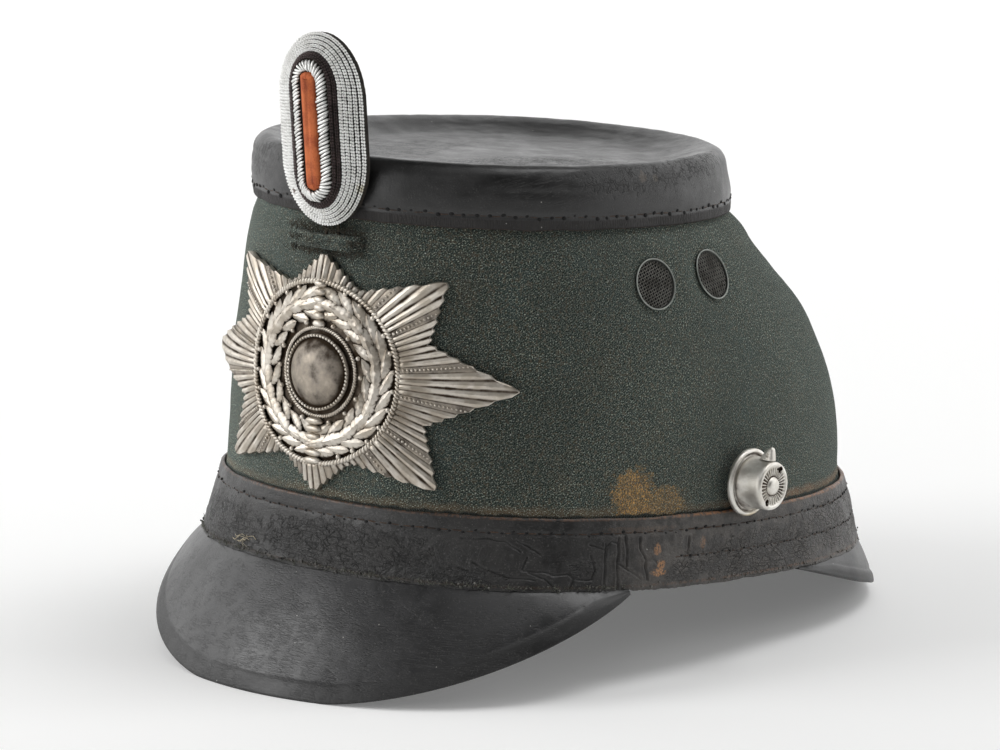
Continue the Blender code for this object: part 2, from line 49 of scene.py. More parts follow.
# The hat's own frame: zero height is the band's lower edge, the front faces -Y, the wearer's left is +X.
hat = dict(
    leanBack=radians(4.5),  # it rests on both peaks, and the front one is deeper
    deckPoint=Vector((0.0, -0.0282, 0.1158)),  # where the frame's crown mount lies in the hat's own frame
    bandLift=0.0253,
    clothWall=0.0024,
)
hatTurn = Matrix.Rotation(-hat["leanBack"], 4, "X")
deckMount = next(mount for mount in frame["record"]["mounts"] if mount["name"] == "crown_deck")
hatPlace = Matrix.Translation(Vector(deckMount["pos_m"]) - hatTurn @ hat["deckPoint"]) @ hatTurn

# Shapes shared with the frame

bodySections = (
    # height, front, back, half width, roundness
    (0.0000, -0.1026, 0.1048, 0.0848, 2.35),
    (0.0100, -0.1016, 0.1028, 0.0842, 2.25),
    (0.0200, -0.1008, 0.1004, 0.0834, 2.15),
    (0.0300, -0.1010, 0.0996, 0.0827, 2.15),
    (0.0400, -0.1011, 0.0978, 0.0820, 2.15),
    (0.0500, -0.1012, 0.0942, 0.0811, 2.15),
    (0.0600, -0.1012, 0.0884, 0.0796, 2.15),
    (0.0720, -0.1012, 0.0806, 0.0762, 2.15),
    (0.0840, -0.1012, 0.0659, 0.0724, 2.15),
    (0.0960, -0.1012, 0.0524, 0.0673, 2.15),
    (0.1015, -0.1012, 0.0470, 0.0634, 2.15),
    (0.1090, -0.1012, 0.0445, 0.0612, 2.15),
)


def signedPower(value, power):
    return copysign(abs(value) ** power, value)


def ovalPoint(section, angle):  # counted from the front towards the wearer's left
    front, back, halfWidth, roundness = section
    along = (back + front) / 2 - (back - front) / 2 * signedPower(cos(angle), 2 / roundness)
    return Vector((halfWidth * signedPower(sin(angle), 2 / roundness), along))


def ovalRow(section, angles, height):
    return [Vector((*ovalPoint(section, angle), height)) for angle in angles]


def ovalOutward(section, angle):
    along = ovalPoint(section, angle + 1e-3) - ovalPoint(section, angle - 1e-3)
    return Vector((along.y, -along.x)).normalized()


def grownSection(section, amount):
    front, back, halfWidth, roundness = section
    return front - amount, back + amount, halfWidth + amount, roundness


def smoothRow(rows, height):  # every column of a table at this height, on a smooth curve through its rows
    height = min(max(height, rows[0][0]), rows[-1][0])
    upper = next(k for k in range(1, len(rows)) if height <= rows[k][0])
    low, high = rows[upper - 1], rows[upper]
    before, after = rows[max(upper - 2, 0)], rows[min(upper + 1, len(rows) - 1)]
    span = high[0] - low[0]
    t = (height - low[0]) / span
    blended = []
    for k in range(1, len(low)):
        slopeLow = (high[k] - before[k]) / (high[0] - before[0]) * span
        slopeHigh = (after[k] - low[k]) / (after[0] - low[0]) * span
        blended.append(
            (2 * t**3 - 3 * t**2 + 1) * low[k] + (t**3 - 2 * t**2 + t) * slopeLow
            + (3 * t**2 - 2 * t**3) * high[k] + (t**3 - t**2) * slopeHigh
        )
    return tuple(blended)


@lru_cache(maxsize=None)
def sectionStep(step):
    return smoothRow(bodySections, step * 1e-4)


def bodySection(height):  # the cloth wall's oval, to a tenth of a millimetre
    return sectionStep(round(height * 1e4))


def clothPoint(angle, height, out=0.0):  # a point off the cloth, and the cloth's outward direction there
    section = smoothRow(bodySections, height)
    here = Vector((*ovalPoint(section, angle), height))
    around = ovalPoint(section, angle + 1e-3) - ovalPoint(section, angle - 1e-3)
    above = ovalPoint(smoothRow(bodySections, height + 5e-4), angle)
    below = ovalPoint(smoothRow(bodySections, height - 5e-4), angle)
    rise = 1e-3 if 5e-4 < height < bodySections[-1][0] - 5e-4 else 5e-4
    outward = Vector((*around, 0.0)).cross(Vector((*(above - below), rise))).normalized()
    return here + outward * out, outward


@lru_cache(maxsize=None)
def walkRound(step):  # bearings and the length of cloth from the front to each, at one height
    section = sectionStep(step)
    angles = [radians(0.6 * k) for k in range(301)]
    points = [ovalPoint(section, angle) for angle in angles]
    lengths = [0.0]
    for here, there in zip(points, points[1:]):
        lengths.append(lengths[-1] + (there - here).length)
    return angles, lengths


def lengthTo(angle, height):  # metres of cloth from the front to this bearing
    angles, lengths = walkRound(round(height * 1e4))
    place = min(abs(angle) / radians(0.6), len(angles) - 1.001)
    low = int(place)
    return copysign(lengths[low] + (lengths[low + 1] - lengths[low]) * (place - low), angle)


def frontPoint(across, height, out):  # measured round the cloth from the centre line, then straight out
    angles, lengths = walkRound(round(height * 1e4))
    low = min(bisect_right(lengths, abs(across)), len(lengths) - 1) - 1
    share = (abs(across) - lengths[low]) / (lengths[low + 1] - lengths[low])
    angle = copysign(angles[low] + (angles[low + 1] - angles[low]) * share, across)
    section = bodySection(height)
    outward = ovalOutward(section, angle)
    spot = ovalPoint(section, angle) + outward * out
    return Vector((spot.x, spot.y, height)), Vector((outward.x, outward.y, 0.0))


def aboveGround(x, y, height):  # the hat's own point that rests this far above the floor
    lean = hat["leanBack"]
    return Vector((x, y, (height - hat["bandLift"] + y * sin(lean)) / cos(lean)))


def clamp(value, low=0.0, high=1.0):
    return min(max(value, low), high)


def bell(away, reach):
    return exp(-((away / reach) ** 2))


def smoothStep(value, start, end):
    t = clamp((value - start) / (end - start))
    return t * t * (3 - 2 * t)


def between(first, second, share):
    return tuple(a + (b - a) * share for a, b in zip(first, second))


# Mesh tools


def skinMesh(name, rows, uvAt=None, wrap=True, loop=True, place=hatPlace):  # a grid of points as one skin
    across = len(rows[0])
    points = [point for row in rows for point in row]
    faces, skin = [], []
    for r in range(len(rows) if loop else len(rows) - 1):
        s = (r + 1) % len(rows)
        for c in range(across if wrap else across - 1):
            d = (c + 1) % across
            faces.append((r * across + c, r * across + d, s * across + d, s * across + c))
            if uvAt:
                skin += [uvAt(r, c), uvAt(r, c + 1), uvAt(r + 1, c + 1), uvAt(r + 1, c)]
    mesh = bpy.data.meshes.new(name)
    mesh.from_pydata(points, [], faces)
    if uvAt:
        layer = mesh.uv_layers.new(name="skin")
        layer.data.foreach_set("uv", [value for pair in skin for value in pair])
    mesh.transform(place)
    return mesh


def tidyNormals(mesh, smoothAngle=None, merge=0.0):
    work = bmesh.new()
    work.from_mesh(mesh)
    if merge:
        bmesh.ops.remove_doubles(work, verts=work.verts, dist=merge)
    bmesh.ops.recalc_face_normals(work, faces=work.faces)
    work.to_mesh(mesh)
    work.free()
    mesh.shade_smooth()
    if smoothAngle:
        mesh.set_sharp_from_angle(angle=radians(smoothAngle))
    return mesh


def closeEnds(mesh, rowLength, rowCount):  # flat caps on the first and last row of a skin
    work = bmesh.new()
    work.from_mesh(mesh)
    work.verts.ensure_lookup_table()
    for first in (0, rowLength * (rowCount - 1)):
        work.faces.new([work.verts[first + k] for k in range(rowLength)])
    work.to_mesh(mesh)
    work.free()
    return mesh


def roughen(rows, amountAt, wrap=True):  # pushes each point of a grid along the grid's own normal
    pushed = []
    last = len(rows) - 1
    across = len(rows[0])
    for r, row in enumerate(rows):
        above, below = rows[min(r + 1, last)], rows[max(r - 1, 0)]
        line = []
        for c, point in enumerate(row):
            ahead = row[(c + 1) % across] if wrap else row[min(c + 1, across - 1)]
            behind = row[(c - 1) % across] if wrap else row[max(c - 1, 0)]
            normal = (ahead - behind).cross(above[c] - below[c])
            if normal.length > 1e-12:
                point = point + normal.normalized() * amountAt(r, c, point)
            line.append(point)
        pushed.append(line)
    return pushed


def newObject(name, data):
    made = bpy.data.objects.new(name, data)
    bpy.context.scene.collection.objects.link(made)
    return made


def bakedMesh(holder):  # what the object's modifiers make, as a plain mesh
    return bpy.data.meshes.new_from_object(holder.evaluated_get(bpy.context.evaluated_depsgraph_get()))


def addPiece(name, mesh, finish, slotName, *replaced):
    mesh.name = name
    mesh.materials.clear()
    mesh.materials.append(finish)
    piece = newObject(name, mesh)
    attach(piece, "root")
    if replaced:
        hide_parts(*replaced)


def circle(radius, height, sides):
    return [Vector((radius * cos(tau * k / sides), radius * sin(tau * k / sides),
                    height)) for k in range(sides)]


def ringAcross(middle, radius, sides):  # a ring about a point, across the X axis
    return [middle + Vector((0.0, cos(tau * k / sides), sin(tau * k / sides))) * radius for k in range(sides)]


def turnedMesh(profile, sides, place=Matrix.Identity(4)):  # (radius, height) pairs turned about Z
    rows = [circle(radius, height, sides) for radius, height in profile]
    return tidyNormals(skinMesh("turned", rows, loop=profile[0][0] > 0, place=place), merge=1e-7)


# the same polyline with even steps; a closed one ends where it starts
def evenSteps(route, pitch, closed=False):
    walked = [0.0]
    for here, there in zip(route, route[1:]):
        walked.append(walked[-1] + dist(here, there))
    steps = max(2, round(walked[-1] / pitch))
    even = []
    for k in range(steps if closed else steps + 1):
        target = walked[-1] * k / steps
        low = min(bisect_right(walked, target), len(walked) - 1) - 1
        gap = walked[low + 1] - walked[low]
        even.append(between(route[low], route[low + 1], (target - walked[low]) / gap if gap else 0.0))
    return even


def smoothPath(points, pitch, closed=False):  # a Catmull-Rom curve through tuples of numbers, evenly stepped
    count = len(points)
    dense = []
    for k in range(count if closed else count - 1):
        if closed:
            a, b, c, d = (points[(k + j) % count] for j in (-1, 0, 1, 2))
        else:
            a, b, c, d = (points[clamp(k + j, 0, count - 1)] for j in (-1, 0, 1, 2))
        for step in range(24):
            t = step / 24
            dense.append(tuple(
                0.5 * (2 * q + (r - p) * t + (2 * p - 5 * q + 4 * r - s) * t**2
                       + (3 * q - p - 3 * r + s) * t**3)
                for p, q, r, s in zip(a, b, c, d)
            ))
    dense.append(tuple(points[0] if closed else points[-1]))
    return evenSteps(dense, pitch, closed)


# Nodes: a few short words to build every tree with


class Wire:  # a node's output, to calculate with
    def __init__(self, socket):
        self.socket = socket

    def __getitem__(self, label):  # another output of the same node
        return Wire(self.socket.node.outputs[label])

    def __add__(self, other):
        return calc("ADD", self, other)

    def __sub__(self, other):
        return calc("SUBTRACT", self, other)

    def __rsub__(self, other):
        return calc("SUBTRACT", other, self)

    def __mul__(self, other):
        return calc("MULTIPLY", self, other)

    def __truediv__(self, other):
        return calc("DIVIDE", self, other)

    def __rtruediv__(self, other):
        return calc("DIVIDE", other, self)


def feed(node, inputs):
    for label, value in inputs.items():
        if isinstance(value, Wire):
            node.id_data.links.new(value.socket, node.inputs[label])
        else:
            node.inputs[label].default_value = value


def addNode(tree, kind, inputs={}, out=0, **settings):
    node = tree.nodes.new(kind)
    for label, value in settings.items():
        setattr(node, label, value)
    feed(node, inputs)
    return Wire(node.outputs[out]) if node.outputs else None


def treeOf(values):
    return next(value.socket.id_data for value in values if isinstance(value, Wire))


def calc(operation, *values):
    return addNode(treeOf(values), "ShaderNodeMath", dict(enumerate(values)), operation=operation)


def mulAdd(first, second, third):
    return calc("MULTIPLY_ADD", first, second, third)


def vectorCalc(operation, *values, **inputs):
    return addNode(treeOf(values), "ShaderNodeVectorMath", dict(enumerate(values)) | inputs,
                   operation=operation)


def combine(tree, **inputs):
    return addNode(tree, "ShaderNodeCombineXYZ", inputs)


def newTree(label, family, inputs, outputs):  # each input has its kind of socket or its value
    tree = bpy.data.node_groups.new(label, family + "NodeTree")
    for way, sockets in (("INPUT", inputs), ("OUTPUT", outputs)):
        for name, given in sockets.items():
            kind = given if isinstance(given, str) else "Vector" if isinstance(given, tuple) else "Float"
            socket = tree.interface.new_socket(name, in_out=way, socket_type="NodeSocket" + kind)
            if kind != given:
                socket.default_value = given
    return tree, addNode(tree, "NodeGroupInput")


def dressTree(tree, shape, finish):  # the tree ends in plain meshes with their finish on
    real = addNode(tree, "GeometryNodeRealizeInstances", {0: shape})
    dressed = addNode(tree, "GeometryNodeSetMaterial", dict(Geometry=real, Material=finish))
    addNode(tree, "NodeGroupOutput", {0: dressed})
    return tree


def buildRepeatTree():
    tree, given = newTree("unitsAlongStrands", "Geometry", {
        "Strands": "Geometry", "Unit": "Object", "Pitch": "Float", "Size": "Vector", "Size spread": "Float",
        "Turn": "Vector", "Turn spread": "Vector", "Shift": "Vector", "Shift spread": "Vector", "Seed": "Int",
        "Finish": "Material",
    }, dict(Units="Geometry"))

    def named(label, kind="FLOAT"):
        return addNode(tree, "GeometryNodeInputNamedAttribute", dict(Name=label), "Attribute", data_type=kind)

    def spread(label, offset):  # a random vector from minus to plus this input
        low = vectorCalc("SCALE", given[label], Scale=-1.0)
        return addNode(tree, "FunctionNodeRandomValue",
                       dict(Min=low, Max=given[label], Seed=given["Seed"] + offset),
                       data_type="FLOAT_VECTOR")

    curve = addNode(tree, "GeometryNodeMeshToCurve", dict(Mesh=given["Strands"]))
    spots = addNode(tree, "GeometryNodeResampleCurve", dict(Curve=curve, Length=given["Pitch"]),
                    mode="LENGTH")
    unit = addNode(tree, "GeometryNodeObjectInfo", dict(Object=given["Unit"]), "Geometry")
    facing = addNode(tree, "FunctionNodeAxesToRotation", {
        "Primary Axis": named("outward", "FLOAT_VECTOR"),
        "Secondary Axis": addNode(tree, "GeometryNodeInputTangent"),
    })
    turn = vectorCalc("ADD", given["Turn"], combine(tree, Z=named("lean")))
    turn = addNode(tree, "FunctionNodeEulerToRotation",
                   {0: vectorCalc("ADD", turn, spread("Turn spread", 11))})
    facing = addNode(tree, "FunctionNodeRotateRotation", {0: facing, 1: turn}, rotation_space="LOCAL")
    chance = {2: 1.0 - given["Size spread"], 3: given["Size spread"] + 1.0, "Seed": given["Seed"]}
    size = vectorCalc("MULTIPLY", given["Size"], combine(tree, X=named("long"), Y=named("wide"), Z=1.0))
    size = vectorCalc("SCALE", size, Scale=addNode(tree, "FunctionNodeRandomValue", chance, 1))
    placed = addNode(tree, "GeometryNodeInstanceOnPoints",
                     dict(Points=spots, Instance=unit, Rotation=facing, Scale=size))
    shift = vectorCalc("ADD", given["Shift"], spread("Shift spread", 23))
    moved = addNode(tree, "GeometryNodeTranslateInstances",
                    {"Instances": placed, "Translation": shift, "Local Space": True})
    return dressTree(tree, moved, given["Finish"])


repeatTree = buildRepeatTree()


# spots are points with their outward directions
def strand(spots, closed=False, wide=1.0, lean=0.0, long=1.0):
    points, outwards = zip(*spots)
    return dict(points=points, outwards=outwards, closed=closed, wide=wide, lean=lean, long=long)


def strandMesh(strands):
    points, edges, values = [], [], dict(outward=[], wide=[], lean=[], long=[])
    for one in strands:
        first, count = len(points), len(one["points"])
        points += one["points"]
        edges += [(first + k, first + k + 1) for k in range(count - 1)]
        if one["closed"]:
            edges.append((first + count - 1, first))
        for outward in one["outwards"]:
            values["outward"] += list(outward)
        for label in ("wide", "lean", "long"):
            given = one[label]
            values[label] += list(given) if isinstance(given, (list, tuple)) else [given] * count
    mesh = bpy.data.meshes.new("strands")
    mesh.from_pydata(points, edges, [])
    for label, numbers in values.items():
        kind = "FLOAT_VECTOR" if label == "outward" else "FLOAT"
        mesh.attributes.new(label, kind,
                            "POINT").data.foreach_set("vector" if label == "outward" else "value", numbers)
    return mesh


def bakeNodes(tree, mesh, values, place=hatPlace):  # the tree's result as a plain mesh in its place
    holder = newObject("holder", mesh)
    modifier = holder.modifiers.new("nodes", "NODES")
    modifier.node_group = tree
    sockets = {item.name: item.identifier for item in tree.interface.items_tree if item.in_out == "INPUT"}
    for label, value in values.items():
        modifier[sockets[label]] = value
    made = bakedMesh(holder)
    made.transform(place)
    bpy.data.objects.remove(holder)
    return made


noTurn = (0.0, 0.0, 0.0)  # no turn or no shift


def setAlong(strands, unitMesh, finish, pitch, size=(1.0, 1.0, 1.0), sizeSpread=0.0, turn=noTurn,
             turnSpread=noTurn,
             shift=noTurn, shiftSpread=noTurn, seed=1):
    unit = newObject("unit", unitMesh)
    made = bakeNodes(repeatTree, strandMesh(strands), {
        "Unit": unit, "Pitch": pitch, "Size": size, "Size spread": sizeSpread, "Turn": turn,
        "Turn spread": turnSpread, "Shift": shift, "Shift spread": shiftSpread, "Seed": seed,
        "Finish": finish,
    })
    bpy.data.objects.remove(unit)
    return made


def joinMeshes(meshes):
    work = bmesh.new()
    for mesh in meshes:
        work.from_mesh(mesh)
    joined = bpy.data.meshes.new("joined")
    work.to_mesh(joined)
    work.free()
    joined.shade_smooth()
    return joined


def beadUnit(sides=8, rings=5, length=1.0, width=1.0, depth=1.0):  # a rounded grain about the origin
    profile = [(max(sin(pi * k / rings), 0.0), -cos(pi * k / rings)) for k in range(rings + 1)]
    mesh = turnedMesh(profile, sides, Matrix.Rotation(pi / 2, 4, "Y"))
    mesh.transform(Matrix.Diagonal((length / 2, width / 2, depth / 2, 1.0)))
    return mesh


def threadUnit(length, radius, sides=6, sag=0.0, twist=0):  # a short thread whose ends dive below the surface
    rows = []
    steps = 8
    for k in range(steps + 1):
        t = 2 * k / steps - 1
        middle = Vector((t * length / 2, 0.0, -sag * abs(t) ** 3))
        girth = radius * sqrt(max(1 - abs(t) ** 5, 0.02)) * (1 + 0.12 * cos(pi * twist * t))
        rows.append(ringAcross(middle, girth, sides))
    mesh = closeEnds(skinMesh("thread", rows, loop=False, place=Matrix.Identity(4)), sides, steps + 1)
    return tidyNormals(mesh)


# Shader groups and finishes


def ramp(value, low, high, start=0.0, end=1.0):  # a soft step between two values
    return addNode(treeOf([value]), "ShaderNodeMapRange", {"Value": value, "From Min": low, "From Max": high,
                                                           "To Min": start, "To Max": end},
                   "Result", interpolation_type="SMOOTHSTEP")


def tint(factor, first, second, blend="MIX"):  # two colours by a mask
    colours = [colour if isinstance(colour, Wire) else (*colour, 1.0) for colour in (first, second)]
    return addNode(treeOf((factor, first)), "ShaderNodeMix", {0: factor, 6: colours[0], 7: colours[1]}, 2,
                   data_type="RGBA", blend_type=blend)


def blur(vector, size, detail=2.0, roughness=0.5, out="Fac"):  # noise whose lumps are about this many metres
    return addNode(treeOf([vector]), "ShaderNodeTexNoise",
                   dict(Vector=vector, Scale=1.0 / size, Detail=detail, Roughness=roughness), out)


def split(vector):
    return addNode(treeOf([vector]), "ShaderNodeSeparateXYZ", dict(Vector=vector))


def mapped(skin, scale, turn=0.0, way="POINT"):
    return addNode(treeOf([skin]), "ShaderNodeMapping",
                   dict(Vector=skin, Rotation=(0.0, 0.0, turn), Scale=(*scale, 1.0)), vector_type=way)


def useGroup(group, **inputs):
    return addNode(treeOf(inputs.values()), "ShaderNodeGroup", inputs, node_tree=group)


def strongest(masks):
    return masks[0] if len(masks) == 1 else calc("MAXIMUM", strongest(masks[:-1]), masks[-1])


def makeCrackle():  # a net of fine cracks: 1 along each crack
    tree, given = newTree("crackle", "Shader", dict(Vector=(0, 0, 0), Cell=0.002, Warp=0.5, Width=0.1),
                          dict(Crack=0))
    scaled = vectorCalc("SCALE", given["Vector"], Scale=1.0 / given["Cell"])
    drift = addNode(tree, "ShaderNodeTexNoise", dict(Vector=scaled, Scale=0.55, Detail=3.0), "Color")
    drift = vectorCalc("SCALE", vectorCalc("SUBTRACT", drift, (0.5, 0.5, 0.5)), Scale=given["Warp"])
    cells = addNode(tree, "ShaderNodeTexVoronoi", dict(Vector=vectorCalc("ADD", scaled, drift), Scale=1.0),
                    "Distance",
                    feature="DISTANCE_TO_EDGE")
    addNode(tree, "NodeGroupOutput", dict(Crack=ramp(cells, 0.0, given["Width"], 1.0, 0.0)))
    return tree


def makeSpot():  # a ragged oval patch on the skin map
    tree, given = newTree("raggedSpot", "Shader",
                          dict(Vector=(0, 0, 0), Middle=(0, 0, 0), Reach=(0.01, 0.01, 1.0),
                                                   Ragged=0.5, Grain=0.002), dict(Mask=0))
    away = vectorCalc("DIVIDE", vectorCalc("SUBTRACT", given["Vector"], given["Middle"]), given["Reach"])
    lumps = blur(given["Vector"], given["Grain"], 4.0, 0.65) - 0.5
    edge = mulAdd(lumps * given["Ragged"], 2.0, vectorCalc("LENGTH", away)["Value"])
    addNode(tree, "NodeGroupOutput", dict(Mask=ramp(edge, 0.62, 1.0, 1.0, 0.0)))
    return tree


def makeWeave():  # a fulled twill: diagonal ribs half hidden under short fibres
    tree, given = newTree("fulledTwill", "Shader", dict(Vector=(0, 0, 0), Pitch=0.001, Fibre=0.0004),
                          dict(Height=0, Fleck=0, Rib=0))
    skin = given["Vector"]
    wander = (blur(skin, 0.0013, 3.0, 0.6) - 0.5) * 0.0019
    slant = mulAdd(split(skin)["X"], -0.78, split(skin)["Y"]) + wander
    rib = mulAdd(calc("SINE", slant / given["Pitch"] * tau), 0.5, 0.5)
    fibre = blur(skin, given["Fibre"], 2.0, 0.75)
    fleck = ramp(mulAdd(rib, 0.05, fibre), 0.59, 0.69)
    rib = ramp(mulAdd(rib, 0.16, fibre), 0.48, 0.72)
    addNode(tree, "NodeGroupOutput", dict(Height=mulAdd(rib, 0.55, fibre * 0.9), Fleck=fleck, Rib=rib))
    return tree


def makeTarnish():  # dark deposit that stays where the relief is low
    tree, given = newTree("tarnish", "Shader", dict(Vector=(0, 0, 0), Relief=1.0, Low=0.15, High=0.65),
                          dict(Mask=0, Cloud=0))
    cloud = blur(given["Vector"], 0.006, 4.0, 0.6)
    uneven = mulAdd(cloud - 0.5, -0.7, given["Relief"])
    addNode(tree, "NodeGroupOutput",
            dict(Mask=ramp(uneven, given["Low"], given["High"], 1.0, 0.0), Cloud=cloud))
    return tree


crackleGroup, spotGroup, weaveGroup, tarnishGroup = makeCrackle(), makeSpot(), makeWeave(), makeTarnish()


def newFinish(label, constants):
    material = bpy.data.materials.new(label)
    material.use_nodes = True
    shader = material.node_tree.nodes["Principled BSDF"]
    feed(shader, constants)
    return material, material.node_tree, shader


def skinAndPlace(tree):  # the piece's own map in metres, and its place
    return addNode(tree, "ShaderNodeUVMap", uv_map="skin"), addNode(tree, "ShaderNodeTexCoord", out="Object")


def setRelief(tree, shader, height, depth, strength=1.0):
    feed(shader,
         dict(Normal=addNode(tree, "ShaderNodeBump", dict(Height=height, Distance=depth, Strength=strength))))


def spotMask(skin, spots):  # the strongest of several ragged spots
    return strongest([
        useGroup(spotGroup, Vector=skin, Middle=(u, v, 0.0), Reach=(reachU, reachV, 1.0), Ragged=0.9,
                 Grain=0.0022) * strength
        for u, v, reachU, reachV, strength in spots
    ])


cloth = dict(
    deep=(0.006, 0.012, 0.010), mid=(0.024, 0.034, 0.027), light=(0.62, 0.69, 0.57),
    blue=(0.026, 0.058, 0.062), dust=(0.115, 0.075, 0.040), lint=(0.50, 0.51, 0.47),
    rust=(0.85, 0.47, 0.12), rustDeep=(0.20, 0.105, 0.034),
    ribPitch=0.85 * mm, fibre=0.42 * mm, relief=0.40 * mm,
    rustSpots=(
        # along the cloth, height, reach along, reach up, strength
        (0.0975, 0.0262, 0.0085, 0.0085, 0.85),
        (0.1080, 0.0232, 0.0090, 0.0062, 0.60),
        (0.0990, 0.0218, 0.0070, 0.0050, 0.95),
    ),
    # gap: below this level the cloth is painted near black, as painted shade where it meets the band
    dustTop=0.0222, dustReach=2.0 * mm, dustRear=(0.26, 0.125, 0.055), gap=0.0196,
)


def makeClothFinish(label, look):
    material, tree, shader = newFinish(label,
                                       {"Sheen Weight": 0.38, "Sheen Roughness": 0.5, "IOR": 1.35,
                                        "Roughness": 0.95,
                                               "Sheen Tint": (0.72, 0.86, 0.78, 1.0)})
    skin, place = skinAndPlace(tree)
    weave = useGroup(weaveGroup, Vector=skin, Pitch=look["ribPitch"], Fibre=look["fibre"])
    tone = blur(place, 0.016, 3.0, 0.6)
    shade = ramp(blur(place, 0.045, 2.0), 0.35, 0.68, 0.82, 1.12)
    colour = tint(weave["Rib"], look["deep"], look["mid"])
    colour = tint(ramp(tone, 0.30, 0.46, 0.30, 0.0), colour, look["blue"])
    colour = tint(ramp(tone, 0.55, 0.72, 0.0, 0.20), colour, look["dust"])
    colour = tint(ramp(blur(place, 0.9 * mm), 0.50, 0.64, 0.0, 0.50), colour, look["dust"])
    level = mulAdd(blur(place, 0.004, 3.0), -0.0022, split(skin)["Y"])
    edge = ramp(level, look["dustTop"], look["dustTop"] - look["dustReach"])
    edge = edge * ramp(blur(place, 0.009, 4.0, 0.65), 0.36, 0.62, 0.40, 0.90)
    colour = tint(edge, colour, tint(ramp(split(skin)["X"], 0.11, 0.15), look["dust"], look["dustRear"]))
    colour = tint(weave["Fleck"] * 0.80, colour, look["light"])
    rust = spotMask(skin, look["rustSpots"]) * ramp(blur(place, 0.4 * mm, 2.0, 0.7), 0.42, 0.58, 0.25, 1.0)
    rustTone = tint(ramp(blur(place, 0.5 * mm, 2.0, 0.7), 0.46, 0.60), look["rustDeep"], look["rust"])
    colour = tint(rust, colour, rustTone)
    # painted shade: near black at the cloth's foot, where the band's top edge shades it
    colour = tint(ramp(level, look["gap"], look["gap"] - 0.0007), colour, (0.006, 0.005, 0.004))
    lint = addNode(tree, "ShaderNodeTexVoronoi", dict(Vector=place, Scale=210.0), "Distance")
    colour = tint(ramp(lint, 0.060, 0.03), colour, look["lint"])
    feed(shader, {"Base Color": tint(1.0, colour, shade, "MULTIPLY")})
    setRelief(tree, shader, weave["Height"], look["relief"])
    return material


# Rows are level, reach and strength; spots and scratches are along, height, their reaches, then strength.
crownLook = dict(
    base=(0.0048, 0.0048, 0.0048), pale=(0.013, 0.0125, 0.0125), tan=(0.10, 0.060, 0.038), coat=0.22,
    coatRough=0.26, grit=0.16,
    rough=(0.36, 0.50), cell=1.7 * mm, width=0.16, depth=0.19 * mm,
    fineCell=0.8 * mm, finer=0.4, grain=0.45 * mm,
    crackSpots=((0.101, 0.0150, 0.024, 0.0055, 0.9), (-0.055, 0.0115, 0.030, 0.006, 0.55),
                (-0.030, 0.0160, 0.016, 0.003, 0.7),
                   (0.132, 0.0190, 0.020, 0.0060, 1.0), (0.085, 0.0620, 0.085, 0.026, 0.9),
                   (-0.08, 0.0600, 0.08, 0.016, 0.5)),
    wornRows=((0.0001, 0.0005, 0.45),), wornAlong=(-0.3, -0.2), strip=(0.0036, (0.013, 0.0095, 0.0085)),
    scratches=((0.107, 0.0110, 0.014, 0.0055, 1.0, 0.75), (0.130, 0.0110, 0.010, 0.004, 0.9, 2.0),
                  (0.070, 0.0120, 0.020, 0.006, 0.7, 0.25), (-0.04, 0.0120, 0.030, 0.006, 0.7, 2.7)),
    rings=(-0.050, 0.0090, 0.011, 1.0 * mm),
    scuffs=((0.1030, 0.0158, 0.0016, 0.0022, 0.8), (0.1080, 0.0150, 0.0012, 0.0014, 0.6)),
)
bandLook = dict(
    base=(0.0095, 0.0090, 0.0088), pale=(0.023, 0.0215, 0.0205), tan=(0.26, 0.115, 0.045), coat=0.12,
    coatRough=0.28, grit=0.42,
    rough=(0.38, 0.58), cell=1.8 * mm, stretch=(0.62, 1.35), width=0.14, depth=0.36 * mm,
    fineCell=0.9 * mm, finer=0.35, grain=0.50 * mm,
    crackSpots=((0.012, 0.0070, 0.036, 0.0080, 1.0), (-0.045, 0.0060, 0.032, 0.0080, 0.9),
                (0.150, 0.0060, 0.036, 0.0080, 0.9),
                   (0.048, 0.0025, 0.016, 0.0035, 0.9), (0.083, 0.0060, 0.006, 0.0030, 0.8),
                   (0.118, 0.0040, 0.009, 0.0035, 1.0),
                   (0.210, 0.0100, 0.050, 0.010, 0.8), (-0.16, 0.0080, 0.060, 0.010, 0.8)),
    wornRows=((0.0196, 0.0008, 0.95), (0.0004, 0.0006, 0.25)), wornAlong=(0.095, 0.125),
    scratches=((0.160, 0.0110, 0.030, 0.0080, 0.6, 0.35), (0.035, 0.0090, 0.030, 0.0080, 0.4, 1.2)),
    rust=((0.1078, 0.0039, 0.0030, 0.0014, 1.0), (0.1086, 0.0058, 0.0016, 0.0018, 0.9),
          (0.1068, 0.0103, 0.0014, 0.0024, 0.7),
             (0.1238, 0.0115, 0.0014, 0.0022, 0.4), (0.101, 0.0163, 0.014, 0.0011, 0.10)),
    # rear: where the drier brown starts and ends, and its colour, which is also lightened as painted light
    lumps=0.9, rear=(0.084, 0.108, (0.075, 0.066, 0.058)),
)
peakLook = dict(
    base=(0.0105, 0.0105, 0.0112), pale=(0.019, 0.0188, 0.0200), tan=(0.06, 0.045, 0.035), coat=0.20,
    coatRough=0.27, grit=0.26,
    rough=(0.34, 0.42), cell=1.2 * mm, stretch=(0.30, 1.5), width=0.12, depth=0.09 * mm,
    fineCell=0.7 * mm, finer=0.10, grain=0.50 * mm,
    crackSpots=((0.0, 0.0300, 0.110, 0.040, 0.40),),
    scratches=((0.030, 0.022, 0.060, 0.016, 0.5, 0.0), (-0.045, 0.031, 0.016, 0.002, 0.9, 0.15),
               (-0.075, 0.030, 0.020, 0.003, 0.6, 0.1)),
)


